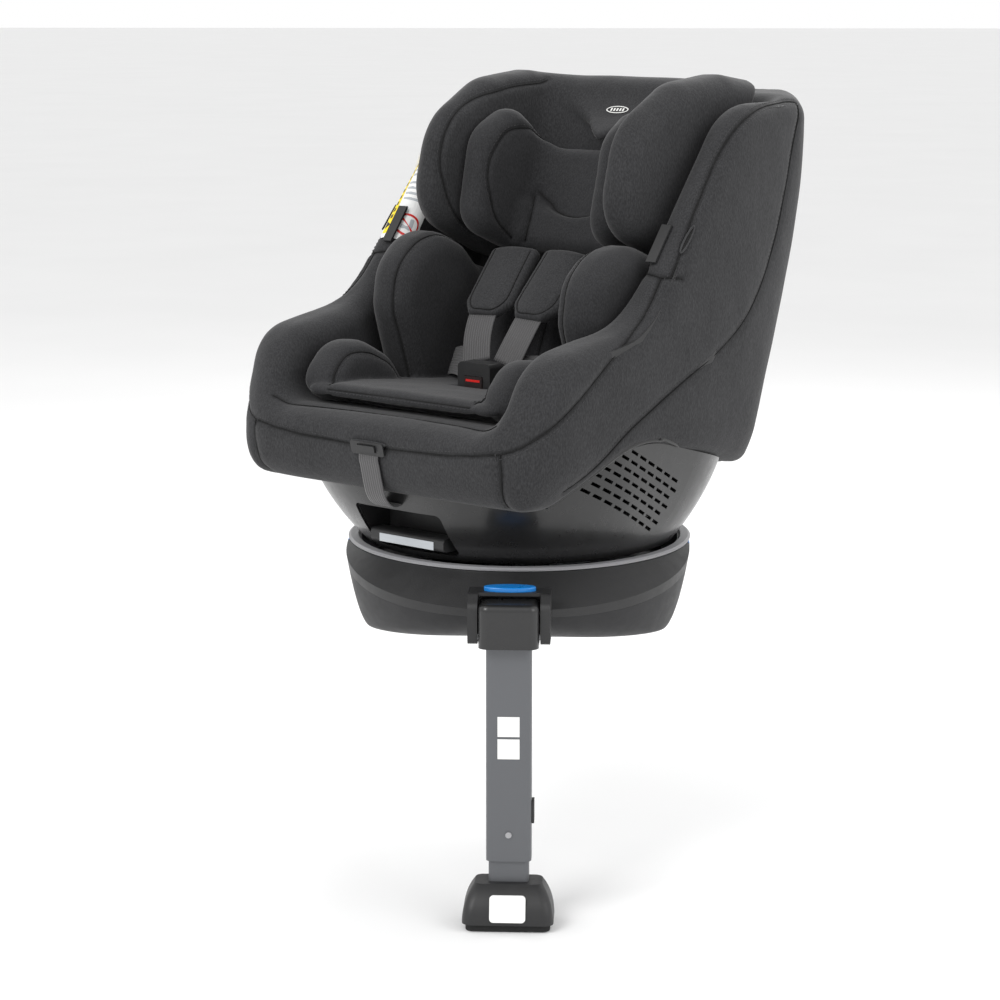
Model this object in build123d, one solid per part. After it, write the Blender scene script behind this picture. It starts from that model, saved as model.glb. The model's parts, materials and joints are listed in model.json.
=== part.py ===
"""Convertible child car seat: a padded bucket seat that spins and reclines on a base with a load leg.

Frame: millimetres, +Z up, origin on the turntable's axis at the plane that rests on the vehicle cushion.
The base faces -Y, where the load leg hangs. The seat is designed facing -Y too, then turned about Z.
"""

from build123d import *
import os
from math import atan2, cos, degrees, radians, sin, tan

# ---- driving dimensions -------------------------------------------------------------------------
SEAT_TURN = -37.0  # deg, the seat's stored heading on its turntable, seen from above
BACK_ANGLE = 21.5  # deg, backrest from the vertical
SEAT_HALF_W = 218.0  # outside half width of the cover
WALL_PLAY = 0.4  # gap between faces that slide

# base
BASE_HALF_W = 184.0
BASE_HALF_L = 226.0
BASE_SKIN = 3.5
RING_Z = 80.0  # top of the base round the turntable
WELL_R = 176.0
WELL_FLOOR_Z = 44.6
WELL_FLOOR_T = 2.0
CONE_R = 184.0
CONE_DROP = 0.80  # fall of the base cover per mm of radius outside CONE_R
SPLIT_DROP = 13.0  # height of the cover's edge band above the tray
CHANNEL_TOP = 44.3  # roof of the recess that the leg folds into
CHANNEL_HALF_W = 30.0
FOOT_POCKET_HALF_W = 50.0
FOOT_POCKET_Y, FOOT_POCKET_BACK = -20.0, 178.0

# load leg
LEG_Y, LEG_PIVOT_Z = -250.0, 30.0
TUBE_W, TUBE_D, TUBE_WALL = 45.6, 26.0, 2.0
KNUCKLE_W, KNUCKLE_TOP, KNUCKLE_BOTTOM = 60.0, 66.0, 21.5
OUTER_TUBE_BOTTOM = -200.0
FOOT_TOP, FOOT_BOTTOM, SOLE_H = -222.0, -265.0, 7.0
PIN_R = 4.0

# turntable and recline
DECK_Z, DECK_T, DECK_R = 47.6, 3.0, 171.0
RECLINE_Z, RECLINE_MAX = 275.0, 12.0
RAIL_X, RAIL_R_OUT, RAIL_R_IN = 80.0, 227.5, 215.0
BOWL_R, BOWL_Z, BOWL_WALL = 167.0, 84.5, 3.5

# underside screws
SCREWS = [(x, y) for x in (-70, 70) for y in (-95, 165)] + [(-132, 12), (132, 12)]

# isofix
ISOFIX_X, ISOFIX_Z, ISOFIX_BAR = 140.0, 23.0, 18.0
ISOFIX_TRAVEL = 110.0

# seat shell
BACK_Y, BACK_Z = 100.0, 220.0  # where the backrest's face meets the seat floor
CAVITY_HALF_W = 152.0
COVER_T = 9.0
HEADREST_TRAVEL = 140.0
BUCKLE_Y, BUCKLE_Z = -62.0, 254.0

PARTS = {}


# ---- helpers ------------------------------------------------------------------------------------
def box(x0, x1, y0, y1, z0, z1):
    """A block between two corners."""
    return Pos((x0 + x1) / 2, (y0 + y1) / 2, (z0 + z1) / 2) * Box(abs(x1 - x0), abs(y1 - y0), abs(z1 - z0))


def rounded_box(x0, x1, y0, y1, z0, z1, r, axis=Axis.Z):
    """A block with the edges along one axis rounded."""
    block = box(x0, x1, y0, y1, z0, z1)
    return fillet(block.edges().filter_by(axis), r)


def outline(points, radii):
    """A closed outline of straight runs with rounded corners."""
    return make_face(FilletPolyline(*points, radius=radii, close=True))


def side_prism(points, radii, x0, x1, inset=0.0):
    """A (y, z) outline with rounded corners, run across the seat from x0 to x1."""
    face = outline(points, radii)
    if inset:
        face = offset(face, amount=-inset)
    return extrude(Plane.YZ.offset(x0) * face, x1 - x0)


def plan_prism(points, radii, z0, z1, inset=0.0):
    """An (x, y) outline with rounded corners, run upwards from z0 to z1."""
    face = outline(points, radii)
    if inset:
        face = offset(face, amount=-inset)
    return extrude(Plane.XY.offset(z0) * face, z1 - z0)


def disc(r, z0, z1, x=0.0, y=0.0):
    """An upright cylinder between two heights."""
    return Pos(x, y, (z0 + z1) / 2) * Cylinder(r, z1 - z0)


def rod_x(r, x0, x1, y, z):
    """A cylinder across the object."""
    return Pos((x0 + x1) / 2, y, z) * Rot(Y=90) * Cylinder(r, x1 - x0)


def rod_y(r, y0, y1, x, z):
    """A cylinder along the object."""
    return Pos(x, (y0 + y1) / 2, z) * Rot(X=90) * Cylinder(r, y1 - y0)


def on_back(shape):
    """Places a shape drawn with z up the backrest and y into it."""
    return Pos(0, BACK_Y, BACK_Z) * Rot(X=-BACK_ANGLE) * shape


def atan_deg(rise, run):
    """The angle of a slope, in degrees."""
    return degrees(atan2(rise, run))


def front_panel():
    """The place and tilt of the cover's front face where the harness adjuster sits."""
    return Pos(0, -239.9, 208) * Rot(X=atan_deg(17, 64))


def mirrored(shape):
    """The same shape on the other side of the object."""
    return mirror(shape, Plane.YZ)


def save(name, shape, turned=False):
    """Keeps one sub-part under its node name; what rides on the turntable is turned with it."""
    if isinstance(shape, (list, tuple)):
        solids = [s for part in shape for s in part.solids()]
    else:
        solids = list(shape.solids())
    if turned:
        solids = [Rot(Z=SEAT_TURN) * s for s in solids]
    PARTS[name] = solids


def arc_sector(r_in, r_out, half_x, x, deg_from, deg_to):
    """A curved bar centred on the recline axis; angles are from straight down, towards the front."""
    a0, a1 = radians(deg_from), radians(deg_to)
    mid = (a0 + a1) / 2

    def at(r, a):
        return (-r * sin(a), RECLINE_Z - r * cos(a))

    outer = ThreePointArc(at(r_out, a0), at(r_out, mid), at(r_out, a1))
    inner = ThreePointArc(at(r_in, a1), at(r_in, mid), at(r_in, a0))
    face = make_face([outer, Line(at(r_out, a1), at(r_in, a1)), inner, Line(at(r_in, a0), at(r_out, a0))])
    return extrude(Plane.YZ.offset(x - half_x) * face, 2 * half_x)


# ---- base ---------------------------------------------------------------------------------------
def base_block(inset=0.0, lift=0.0):
    """The base's outside as a lofted block, wide at the top and drawn in at the foot."""
    foot = Pos(0, 35, lift) * RectangleRounded(318 - 2 * inset, 310 - 2 * inset, 45 - inset)
    waist = Pos(0, 0, 46) * RectangleRounded(354 - 2 * inset, 440 - 2 * inset, 170 - inset)
    width, length = 2 * BASE_HALF_W - 2 * inset, 2 * BASE_HALF_L - 2 * inset
    brim = Pos(0, 0, RING_Z + 4) * RectangleRounded(width, length, 178 - inset)
    return loft([foot, waist, brim])


def cone_below(drop):
    """Everything under the base cover's top surface, lowered by drop."""
    top, rim = RING_Z - drop, 300.0
    edge = top - (rim - CONE_R) * CONE_DROP
    profile = Polyline((0, -60), (rim, -60), (rim, edge), (CONE_R, top), (0, top), close=True)
    return revolve(Plane.XZ * make_face(profile), Axis.Z)


def leg_slot(clearance=0.0):
    """The recess under the base that takes the folded leg and its foot."""
    w, f = CHANNEL_HALF_W + clearance, FOOT_POCKET_HALF_W + clearance
    top, back = CHANNEL_TOP + clearance, FOOT_POCKET_BACK + clearance
    return box(-w, w, -300, back, -5, top) + box(-f, f, FOOT_POCKET_Y - clearance, back, -5, top)


def knuckle_bay():
    """The notch in the base's nose that the leg's knuckle turns in."""
    w = KNUCKLE_W / 2 + 1.5
    return box(-w, w, -320, -222, -5, 90)


def bracket_block(grow=0.0):
    """The outside of the leg's bracket on the base's nose."""
    w = 41 + grow
    points = [(-262, 23), (-262, 62), (-248, 73), (-220, 73), (-220, 23)]
    return side_prism(points, [8, 10, 6, 1, 6], -w, w, -grow)


def build_base():
    """The tray, the cover, the underside parts and the parts fixed inside."""
    outer, inner = base_block(), base_block(BASE_SKIN, BASE_SKIN)
    arm_port = box(ISOFIX_X - 17, ISOFIX_X + 17, 120, 300, 4.5, 38.4)
    arm_ports = arm_port + mirrored(arm_port)
    nose = box(-41.5, 41.5, -264.5, -219.5, -1, 90)

    shell = (outer & cone_below(SPLIT_DROP + 0.3)) - (inner & cone_below(SPLIT_DROP - 20))
    lining = (leg_slot(2.4) - box(-400, 400, -400, -215, -10, 90)) & (outer & cone_below(SPLIT_DROP + 6))
    tray = shell + lining - disc(WELL_R + 4.5, CHANNEL_TOP - 0.1, 100)
    tray = tray - leg_slot() - arm_ports - knuckle_bay() - nose
    for x in (-105, 105):
        for y in (-75, 150):
            tray -= rounded_box(x - 22.2, x + 22.2, y - 30.2, y + 30.2, -1, 1.6, 8)
    for x, y in SCREWS:
        tray = tray - disc(4.8, -1, 1.8, x, y) - disc(2.2, -1, 5, x, y)
    save("base_tray", max(tray.solids(), key=lambda s: s.volume))
    pads = [rounded_box(x - 22, x + 22, y - 30, y + 30, 0, 1.6, 8) for x in (-105, 105) for y in (-75, 150)]
    save("grip_pads", pads)
    save("base_screws", [disc(4.5, 0.2, 1.8, x, y) + disc(2.0, 1.8, 9, x, y) for x, y in SCREWS])

    well = disc(WELL_R + 3.5, WELL_FLOOR_Z, RING_Z) - disc(WELL_R, WELL_FLOOR_Z + WELL_FLOOR_T, RING_Z + 1)
    band = (outer - cone_below(SPLIT_DROP)) & cone_below(0)
    skin = band - (inner & cone_below(BASE_SKIN)) - disc(WELL_R + 0.1, 0, 100)
    cover = skin + well - disc(9.0, 0, 60)
    for x in (-1, 1):
        cover -= box(x * 172, x * 196, -31, 31, 66.5, 90)
    cover = cover - nose - leg_slot(0.2)
    save("base_cover", max(cover.solids(), key=lambda s: s.volume))

    bay = box(-KNUCKLE_W / 2 - 1.2, KNUCKLE_W / 2 + 1.2, -300, -226, -5, 69.6)
    bay += box(-KNUCKLE_W / 2 - 1.2, KNUCKLE_W / 2 + 1.2, -300, -246, -5, 90)
    bracket = bracket_block() - bay - rod_x(PIN_R, -60, 60, LEG_Y, LEG_PIVOT_Z)
    bracket -= box(-28, 28, -230, -200, -5, 60)
    bracket -= Pos(0, -234, 70.7) * extrude(Ellipse(26.4, 10.4), 10)
    save("leg_bracket", bracket)
    save("leg_hinge_pin", rod_x(PIN_R - 0.05, -40.5, 40.5, LEG_Y, LEG_PIVOT_Z))

    floor = WELL_FLOOR_Z + WELL_FLOOR_T
    save("turntable_race", disc(150, floor, DECK_Z - 0.3) - disc(138, 0, 100))
    top = DECK_Z + DECK_T + 0.3
    save("pivot_post", disc(8.9, WELL_FLOOR_Z, top + 2.2) + disc(15, top, top + 2.2))

    x0, x1 = ISOFIX_X - 12.5, ISOFIX_X + 12.5
    guide = box(x0, x1, 84, 186, BASE_SKIN + 0.1, ISOFIX_Z + 12.5)
    guide -= box(ISOFIX_X - 9.4, ISOFIX_X + 9.4, 80, 190, ISOFIX_Z - 9.4, ISOFIX_Z + 9.4)
    save("isofix_guides", [guide, mirrored(guide)])


def build_base_controls():
    """The blue spin releases at each side of the brim and the one over the leg."""
    side = rounded_box(173, 184.5, -30, 30, 68.5, 79.6, 3, Axis.Y) - disc(WELL_R + 4.2, 0, 100)
    side = side & base_block() & cone_below(-1.2)
    save("spin_release_left", mirrored(side))
    save("spin_release_right", side)
    front = Pos(0, -234, 72.7) * extrude(Ellipse(26.0, 10.0), 4.6)
    front = fillet(front.faces().sort_by(Axis.Z)[-1].edges(), 1.5)
    save("spin_release_front", front)


# ---- load leg -----------------------------------------------------------------------------------
def tube(w, d, wall, z0, z1, r=6.0):
    """An upright box tube with rounded corners, centred on the leg."""
    walls = RectangleRounded(w, d, r) - RectangleRounded(w - 2 * wall, d - 2 * wall, r - wall)
    return Pos(0, LEG_Y, z0) * extrude(walls, z1 - z0)


def build_leg():
    """The knuckle, the two tubes, the height lock and the foot."""
    knuckle = box(-KNUCKLE_W / 2, KNUCKLE_W / 2, LEG_Y - 23, LEG_Y + 14.5, KNUCKLE_BOTTOM, KNUCKLE_TOP)
    knuckle = fillet(knuckle.edges().filter_by(Axis.Z).sort_by(Axis.Y)[:2], 10)
    knuckle = fillet(knuckle.faces().sort_by(Axis.Z)[-1].edges(), 7)
    socket = Pos(0, LEG_Y, -1) * extrude(RectangleRounded(TUBE_W + 0.1, TUBE_D + 0.1, 6.0), 57)
    knuckle = knuckle - socket - rod_x(PIN_R, -60, 60, LEG_Y, LEG_PIVOT_Z)
    save("leg_knuckle", knuckle)

    outer = tube(TUBE_W, TUBE_D, TUBE_WALL, OUTER_TUBE_BOTTOM, 55)
    outer = outer - rod_x(PIN_R, -60, 60, LEG_Y, LEG_PIVOT_Z)
    outer -= rod_y(2.2, LEG_Y - 20, LEG_Y, 0, -172)
    save("leg_outer_tube", outer)
    rivet = rod_y(2.15, LEG_Y - 13.2, LEG_Y - 11.2, 0, -172) + rod_y(3.2, LEG_Y - 14.4, LEG_Y - 13.0, 0, -172)
    save("leg_rivet", rivet)
    slider = rounded_box(TUBE_W / 2 + 0.1, TUBE_W / 2 + 2.6, LEG_Y - 7, LEG_Y + 7, -162, -138, 2, Axis.X)
    save("leg_height_button", slider)
    label = box(-11, 11, LEG_Y - 13.5, LEG_Y - 13.0, -93, -72.5)
    save("leg_labels", [label, Pos(0, 0, 23) * label])

    inner_w, inner_d = TUBE_W - 2 * TUBE_WALL - 1.0, TUBE_D - 2 * TUBE_WALL - 1.0
    inner = tube(inner_w, inner_d, 2.0, FOOT_TOP - 18, 8, 4.0)
    for k in range(8):
        inner -= rod_x(4.0, 0, 40, LEG_Y, -133 + 17 * k)
    save("leg_inner_tube", inner)

    y_mid, sole_top = LEG_Y - 14, FOOT_BOTTOM + SOLE_H
    foot_sections = [
        Pos(0, y_mid, sole_top) * RectangleRounded(92, 53, 10),
        Pos(0, y_mid + 2, sole_top + 20) * RectangleRounded(86, 49, 10),
        Pos(0, LEG_Y - 3, FOOT_TOP) * RectangleRounded(68, 31, 8),
    ]
    foot = loft(foot_sections)
    foot -= Pos(0, y_mid, sole_top - 1) * extrude(RectangleRounded(80, 43, 6), 15)
    socket = Pos(0, LEG_Y, FOOT_TOP - 18) * extrude(RectangleRounded(inner_w + 0.1, inner_d + 0.1, 4.0), 30)
    save("foot_shell", foot - socket)
    sole = Pos(0, y_mid, FOOT_BOTTOM) * extrude(RectangleRounded(85, 46, 8), SOLE_H - 0.4)
    core = Pos(0, y_mid, sole_top - 0.4) * extrude(RectangleRounded(76, 39, 5), 9)
    save("foot_sole", sole + core)
    window = rounded_box(-18, 18, -1.2, 6, -13.5, 13.5, 4, Axis.Y)
    window = Pos(0, y_mid - 24.6, sole_top + 17) * Rot(X=-17) * window
    save("foot_indicator", window - foot)


# ---- isofix -------------------------------------------------------------------------------------
def build_isofix():
    """One arm a side: a steel bar, a claw housing, its hook, hook pin and release button."""
    for side, name in ((-1, "left"), (1, "right")):
        x = side * ISOFIX_X
        bar = box(x - 9, x + 9, 40, 212, ISOFIX_Z - 9, ISOFIX_Z + 9)
        head = rounded_box(x - 14.5, x + 14.5, 205, 285, ISOFIX_Z - 15, ISOFIX_Z + 14.5, 5, Axis.X)
        head -= bar
        head -= box(x - 3.5, x + 3.5, 222, 290, ISOFIX_Z - 20, ISOFIX_Z + 11.3)
        head -= box(x - 20, x + 20, 262, 290, ISOFIX_Z - 4.5, ISOFIX_Z + 4.5)
        head -= rod_x(2.5, x - 12, x + 12, 245, ISOFIX_Z + 2)
        head -= box(x - 8, x + 8, 222, 250, ISOFIX_Z + 11, ISOFIX_Z + 20)
        pin = rod_x(2.45, x - 11.5, x + 11.5, 245, ISOFIX_Z + 2)
        save(f"isofix_bar_{name}", [bar, pin])
        save(f"isofix_head_{name}", head)
        claw = Polyline((238, -6), (250, -8), (272, -8.5), (276, -4), (276, 4), (269, 4), (269, -2),
                        (257, -2), (251, 7), (239, 6), close=True)
        plate = extrude(Plane.YZ.offset(x - 2.5) * Pos(0, ISOFIX_Z + 0) * make_face(claw), 5)
        save(f"isofix_hook_{name}", plate - rod_x(2.55, x - 12, x + 12, 245, ISOFIX_Z + 2))
        button = rounded_box(x - 7.6, x + 7.6, 231, 249, ISOFIX_Z + 11.4, ISOFIX_Z + 17.5, 2, Axis.X)
        save(f"isofix_release_{name}", button)


# ---- turntable ----------------------------------------------------------------------------------
def build_turntable():
    """The deck, its visible ring, the rollers' cage and the curved recline rails."""
    deck = disc(DECK_R, DECK_Z, DECK_Z + DECK_T) - disc(9.0, 0, 100)
    ring_wall = disc(175.2, DECK_Z, RING_Z + 0.8) - disc(DECK_R + 0.0, 0, 100)
    lip_profile = Polyline((DECK_R + 0.5, RING_Z + 0.8), (184, RING_Z + 0.8), (184.5, RING_Z + 2.4),
                           (182, RING_Z + 4), (174, RING_Z + 4), close=True)
    lip = revolve(Plane.XZ * make_face(lip_profile), Axis.Z)
    save("turntable_deck", deck, True)
    save("turntable_ring", ring_wall + lip, True)
    rails = []
    for x in (-RAIL_X, RAIL_X):
        rails.append(arc_sector(RAIL_R_IN, RAIL_R_OUT, 7, x, -22, 30))
    feet = box(RAIL_X - 7, RAIL_X + 7, -60, 50, DECK_Z + DECK_T, 62)
    cut = Pos(0, 0, RECLINE_Z) * Rot(Y=90) * Cylinder(RAIL_R_OUT - 2, 400)
    feet = feet - cut
    rails[1] = rails[1] + feet
    rails[0] = rails[0] + mirrored(feet)
    clear = box(-300, 300, -300, 300, 0, DECK_Z + DECK_T)
    save("recline_rails", [r - clear for r in rails], True)


# ---- bowl and recline gear ----------------------------------------------------------------------
SHELL_SIDE = [(-226, 160), (-243, 224), (-190, 308), (-54, 328), (114, 544), (354, 551), (316, 345),
              (229, 140), (-70, 220), (-176, 156)]
SHELL_SIDE_R = [34, 46, 70, 110, 85, 34, 260, 26, 150, 30]
SHELL_PLAN = [(-208, -252), (208, -252), (222, -40), (220, 120), (184, 262), (92, 388), (-92, 388),
              (-184, 262), (-220, 120), (-222, -40)]
SHELL_PLAN_R = [92, 92, 200, 150, 110, 60, 60, 110, 150, 200]
SHELL_REAR = [(-224, -600), (224, -600), (222, -60), (198, 88), (102, 177), (-102, 177), (-198, 88),
              (-222, -60)]
SHELL_REAR_R = [1, 1, 150, 100, 60, 60, 100, 150]
SHELL_FRONT = [(-168, 138), (168, 138), (214, 200), (222, 300), (204, 480), (184, 640), (-184, 640),
               (-204, 480), (-222, 300), (-214, 200)]
SHELL_FRONT_R = [50, 50, 60, 150, 200, 1, 1, 200, 150, 60]
REAR_LEAN = (0, 0.383, 1.0)  # direction of the shell's rear edge
CAVITY_TOP = 216 + 150 / tan(radians(BACK_ANGLE))
CAVITY_SIDE = [(-320, 238), (-200, 238), (-110, 223), (BACK_Y + 2, 216), (BACK_Y + 152, CAVITY_TOP),
               (BACK_Y + 152, 660), (-320, 660)]
CAVITY_SIDE_R = [1, 60, 60, 55, 1, 1, 1]
INSERT_BACK_Y = BACK_Y - 84  # face of the insert's back pad at its foot
INSERT_REACH = [(-196, 200), (-200, 268), (-162, 298), (-112, 288), (-112, 345), (-80, 384), (-14, 400),
                (36, 386), (62, 362), (200, 308), (200, 200)]
INSERT_REACH_R = [8, 30, 30, 8, 30, 40, 40, 20, 20, 1, 1]
RIM_LEAN = degrees(atan2(168, 218))  # deg, the wings' front rim from the vertical


def shell_footprint(inset=0.0):
    """The shell's outline seen from above, from the front and along its leaning back."""
    plan = plan_prism(SHELL_PLAN, SHELL_PLAN_R, 60, 620, inset)
    front_face = outline(SHELL_FRONT, SHELL_FRONT_R)
    rear_face = outline(SHELL_REAR, SHELL_REAR_R)
    if inset:
        front_face = offset(front_face, amount=-inset)
        rear_face = offset(rear_face, amount=-inset)
    front = extrude(Plane.XZ.offset(-400) * front_face, 700)
    rear = extrude(rear_face, 640, dir=Vector(*REAR_LEAN).normalized())
    return plan & rear, front


def shell_block(inset=0.0):
    """The outside of the covered seat shell."""
    plan, front = shell_footprint(inset)
    return side_prism(SHELL_SIDE, SHELL_SIDE_R, -260, 260, inset) & plan & front


def cavity_block(grow=0.0):
    """The space where the child sits, open to the front and the top."""
    w = CAVITY_HALF_W + grow
    side = side_prism(CAVITY_SIDE, CAVITY_SIDE_R, -w - 14, w + 14, -grow)
    plan = [(-w, -330), (w, -330), (w, -110), (w + 14, -14), (w + 14, 400), (-w - 14, 400),
            (-w - 14, -14), (-w, -110)]
    return side & plan_prism(plan, [1, 1, 50, 50, 1, 1, 50, 50], 150, 700)


def bowl_block(inset=0.0):
    """The lower shell's outside: round at the turntable, seat-shaped at the top."""
    foot = 2 * BOWL_R - 2 * inset
    sections = [
        Pos(0, 0, BOWL_Z) * RectangleRounded(foot, foot, foot / 2 - 0.5),
        Pos(0, -4, 150) * RectangleRounded(384 - 2 * inset, 404 - 2 * inset, 160 - inset),
        Pos(0, -6, 226) * RectangleRounded(408 - 2 * inset, 432 - 2 * inset, 150 - inset),
    ]
    return loft(sections)


def vent_slots():
    """Rows of slanted slots for one side, as one cutting tool."""
    rows, per_row, pitch, slant = 7, 8, 17.5, -27.0
    cuts = []
    for row in range(rows):
        for k in range(per_row):
            y = (k - (per_row - 1) / 2) * pitch + (6 if row % 2 else 0)
            z = (row - (rows - 1) / 2) * 9.2
            cuts.append(Rot(X=slant) * Pos(0, y, z) * Box(80, 12.5, 3.2))
    return [Pos(205, -52, 165) * c for c in cuts]


def build_bowl():
    """The glossy lower shell with its vents and handle recess, and the recline parts on it."""
    above = shell_block(-0.6)
    outer = bowl_block()
    plan, _ = shell_footprint(1.5)
    bowl = (outer - bowl_block(BOWL_WALL) - above) & plan
    bowl -= box(-300, 300, -300, 300, 214, 400)
    slots = vent_slots()
    bowl = bowl - slots - [mirrored(slot) for slot in slots]
    bowl -= rounded_box(-58, 58, -260, -120, 92, 139, 6, Axis.Y)
    save("seat_bowl", max(bowl.solids(), key=lambda s: s.volume), True)

    rim = rounded_box(-61, 61, -196, -142, 89, 142, 8, Axis.Y)
    rim -= rounded_box(-57, 57, -200, -145, 93, 138, 6, Axis.Y)
    rim = rim & bowl_block(BOWL_WALL + 0.3)
    save("handle_recess", max(rim.solids(), key=lambda s: s.volume), True)
    handle = rounded_box(-50, 50, -183, -158, 97, 111, 5, Axis.X)
    save("recline_handle", handle, True)
    save("recline_label", box(-37, 37, -183.6, -183.1, 98.5, 107), True)

    shoes = [arc_sector(RAIL_R_IN - 11, RAIL_R_IN - WALL_PLAY, 6.5, x, -13, 15) for x in (-RAIL_X, RAIL_X)]
    save("recline_shoes", shoes, True)
    cross = arc_sector(RAIL_R_IN - 19, RAIL_R_IN - 11.1, 100, 0, -12, 14)
    save("recline_carriage", cross, True)
    struts = [box(x - 5, x + 5, -40, 40, 60, 240) for x in (-RAIL_X, RAIL_X)]
    cut = Pos(0, 0, RECLINE_Z) * Rot(Y=90) * (Cylinder(400, 500) - Cylinder(RAIL_R_IN - 19.1, 500))
    struts = [s - cut - cavity_block(COVER_T + 10) for s in struts]
    save("seat_struts", [s & box(-200, 200, -60, 60, 50, 196) for s in struts], True)


# ---- seat shell, cover and foam -----------------------------------------------------------------
def build_shell():
    """The cover as a closed skin, the plastic tub inside it and the foam in its wings."""
    outer, cavity = shell_block(), cavity_block()
    core = shell_block(COVER_T) - cavity_block(COVER_T) - box(-300, 300, -400, 400, 590, 800)
    under = shell_block(COVER_T) & box(-190, 190, -190, 170, 100, 196)
    opening = box(-180, 180, -186, 160, 100, 197) & bowl_block(BOWL_WALL + 8)
    cover = outer - cavity - core - opening
    lever_channel = on_back(box(-36, 36, -3, 15, 344, 700))
    cover = cover - lever_channel - front_panel() * box(-12.6, 12.6, -3, 5, -3.6, 4.6)
    save("seat_cover", max(cover.solids(), key=lambda s: s.volume), True)

    skin = 0.3
    body = shell_block(COVER_T + skin) - cavity_block(COVER_T + skin) - box(-300, 300, -400, 400, 589, 800)
    hollow = (shell_block(COVER_T + 5) - cavity_block(COVER_T + 5)) & box(-300, 300, -400, 400, 100, 545)
    hollow_open = bowl_block(BOWL_WALL + 9) & box(-300, 300, -400, 400, 80, 200)
    tub = body - hollow - hollow_open - on_back(box(-45, 45, -3, 24, 335, 700))
    save("seat_tub", max(tub.solids(), key=lambda s: s.volume), True)
    wing = (shell_block(COVER_T + 7) - cavity_block(COVER_T + 7)) & box(165, 215, -60, 240, 240, 520)
    wing = max(wing.solids(), key=lambda s: s.volume)
    save("side_foam", [wing, mirrored(wing)], True)


def build_insert():
    """The newborn insert: a U of padding on the seat floor and up the back."""
    outer = cavity_block(-2.5)
    reach = side_prism(INSERT_REACH, INSERT_REACH_R, -160, 160)
    hollow_side = [(-300, 259), (-150, 256), (INSERT_BACK_Y, 240), (INSERT_BACK_Y + 165, 640), (-300, 640)]
    hollow = side_prism(hollow_side, [1, 30, 40, 1, 1], -104, 104)
    buckle_gap = box(-24, 24, BUCKLE_Y - 18, BUCKLE_Y + 18, 200, 300)
    insert = (outer & reach) - hollow - buckle_gap
    save("body_insert", max(insert.solids(), key=lambda s: s.volume), True)


# ---- headrest -----------------------------------------------------------------------------------
def build_headrest():
    """The sliding headrest: frame, padded hood, newborn head pillow, lever and label."""
    frame = rounded_box(-120, 120, -9, -3, 152, 359, 20, Axis.Y)
    frame -= [box(x - 30, x + 30, -20, 5, 158, 166) for x in (-70, 70)]
    save("headrest_frame", on_back(frame), True)
    side = [(-186, 143), (-202, 250), (-140, 312), (-70, 346), (-12, 362), (-9.3, 143), (-60, 139)]
    pad = side_prism(side, [45, 60, 60, 40, 4, 4, 30], -160, 160)
    plan = [(-146, -215), (146, -215), (160, -80), (160, 10), (-160, 10), (-160, -80)]
    pad = pad & plan_prism(plan, [24, 24, 40, 1, 1, 40], 100, 450)
    void = plan_prism([(-112, -230), (112, -230), (100, -40), (-100, -40)], [1, 1, 40, 40], 100, 450)
    hood_side = [(-260, 80), (-30, 80), (-40, 290), (-82, 266), (-14, 358), (-14, 480), (-260, 480)]
    void = void & side_prism(hood_side, [1, 1, 12, 10, 1, 1, 1], -120, 120)
    save("headrest_pad", on_back(pad - void), True)
    pillow_side = [(-148, 145), (-160, 250), (-128, 284), (-96, 270), (-66, 252), (-40.5, 252)]
    pillow_side += [(-40.5, 145), (-90, 141)]
    pillow = side_prism(pillow_side, [30, 40, 24, 20, 12, 3, 3, 20], -110, 110)
    limit = plan_prism([(-111.5, -200), (111.5, -200), (99.5, -40.5), (-99.5, -40.5)], [1, 1, 40, 40],
                       100, 450)
    gap = plan_prism([(-76, -220), (76, -220), (64, -84), (-64, -84)], [1, 1, 36, 36], 100, 450)
    pillow = (pillow & limit & void) - gap
    save("head_pillow", on_back(max(pillow.solids(), key=lambda s: s.volume)), True)
    lever = rounded_box(-32, 32, -2.4, 12, 347, 360, 5, Axis.X)
    save("headrest_lever", on_back(lever), True)
    tag = Pos(0, -48.1, 312.9) * Rot(X=53.5) * Box(30, 11, 0.6)
    save("headrest_tag", on_back(tag), True)


# ---- harness ------------------------------------------------------------------------------------
def strap_between(a, b, width, thick):
    """A flat webbing run between two points, its flat facing away from the back."""
    a, b = Vector(*a), Vector(*b)
    run = b - a
    across = Vector(1, 0, 0) - run.normalized() * run.normalized().X
    plane = Plane(origin=(a + b) / 2, x_dir=across, z_dir=run.normalized())
    return plane * Box(width, thick, run.length)


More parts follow.
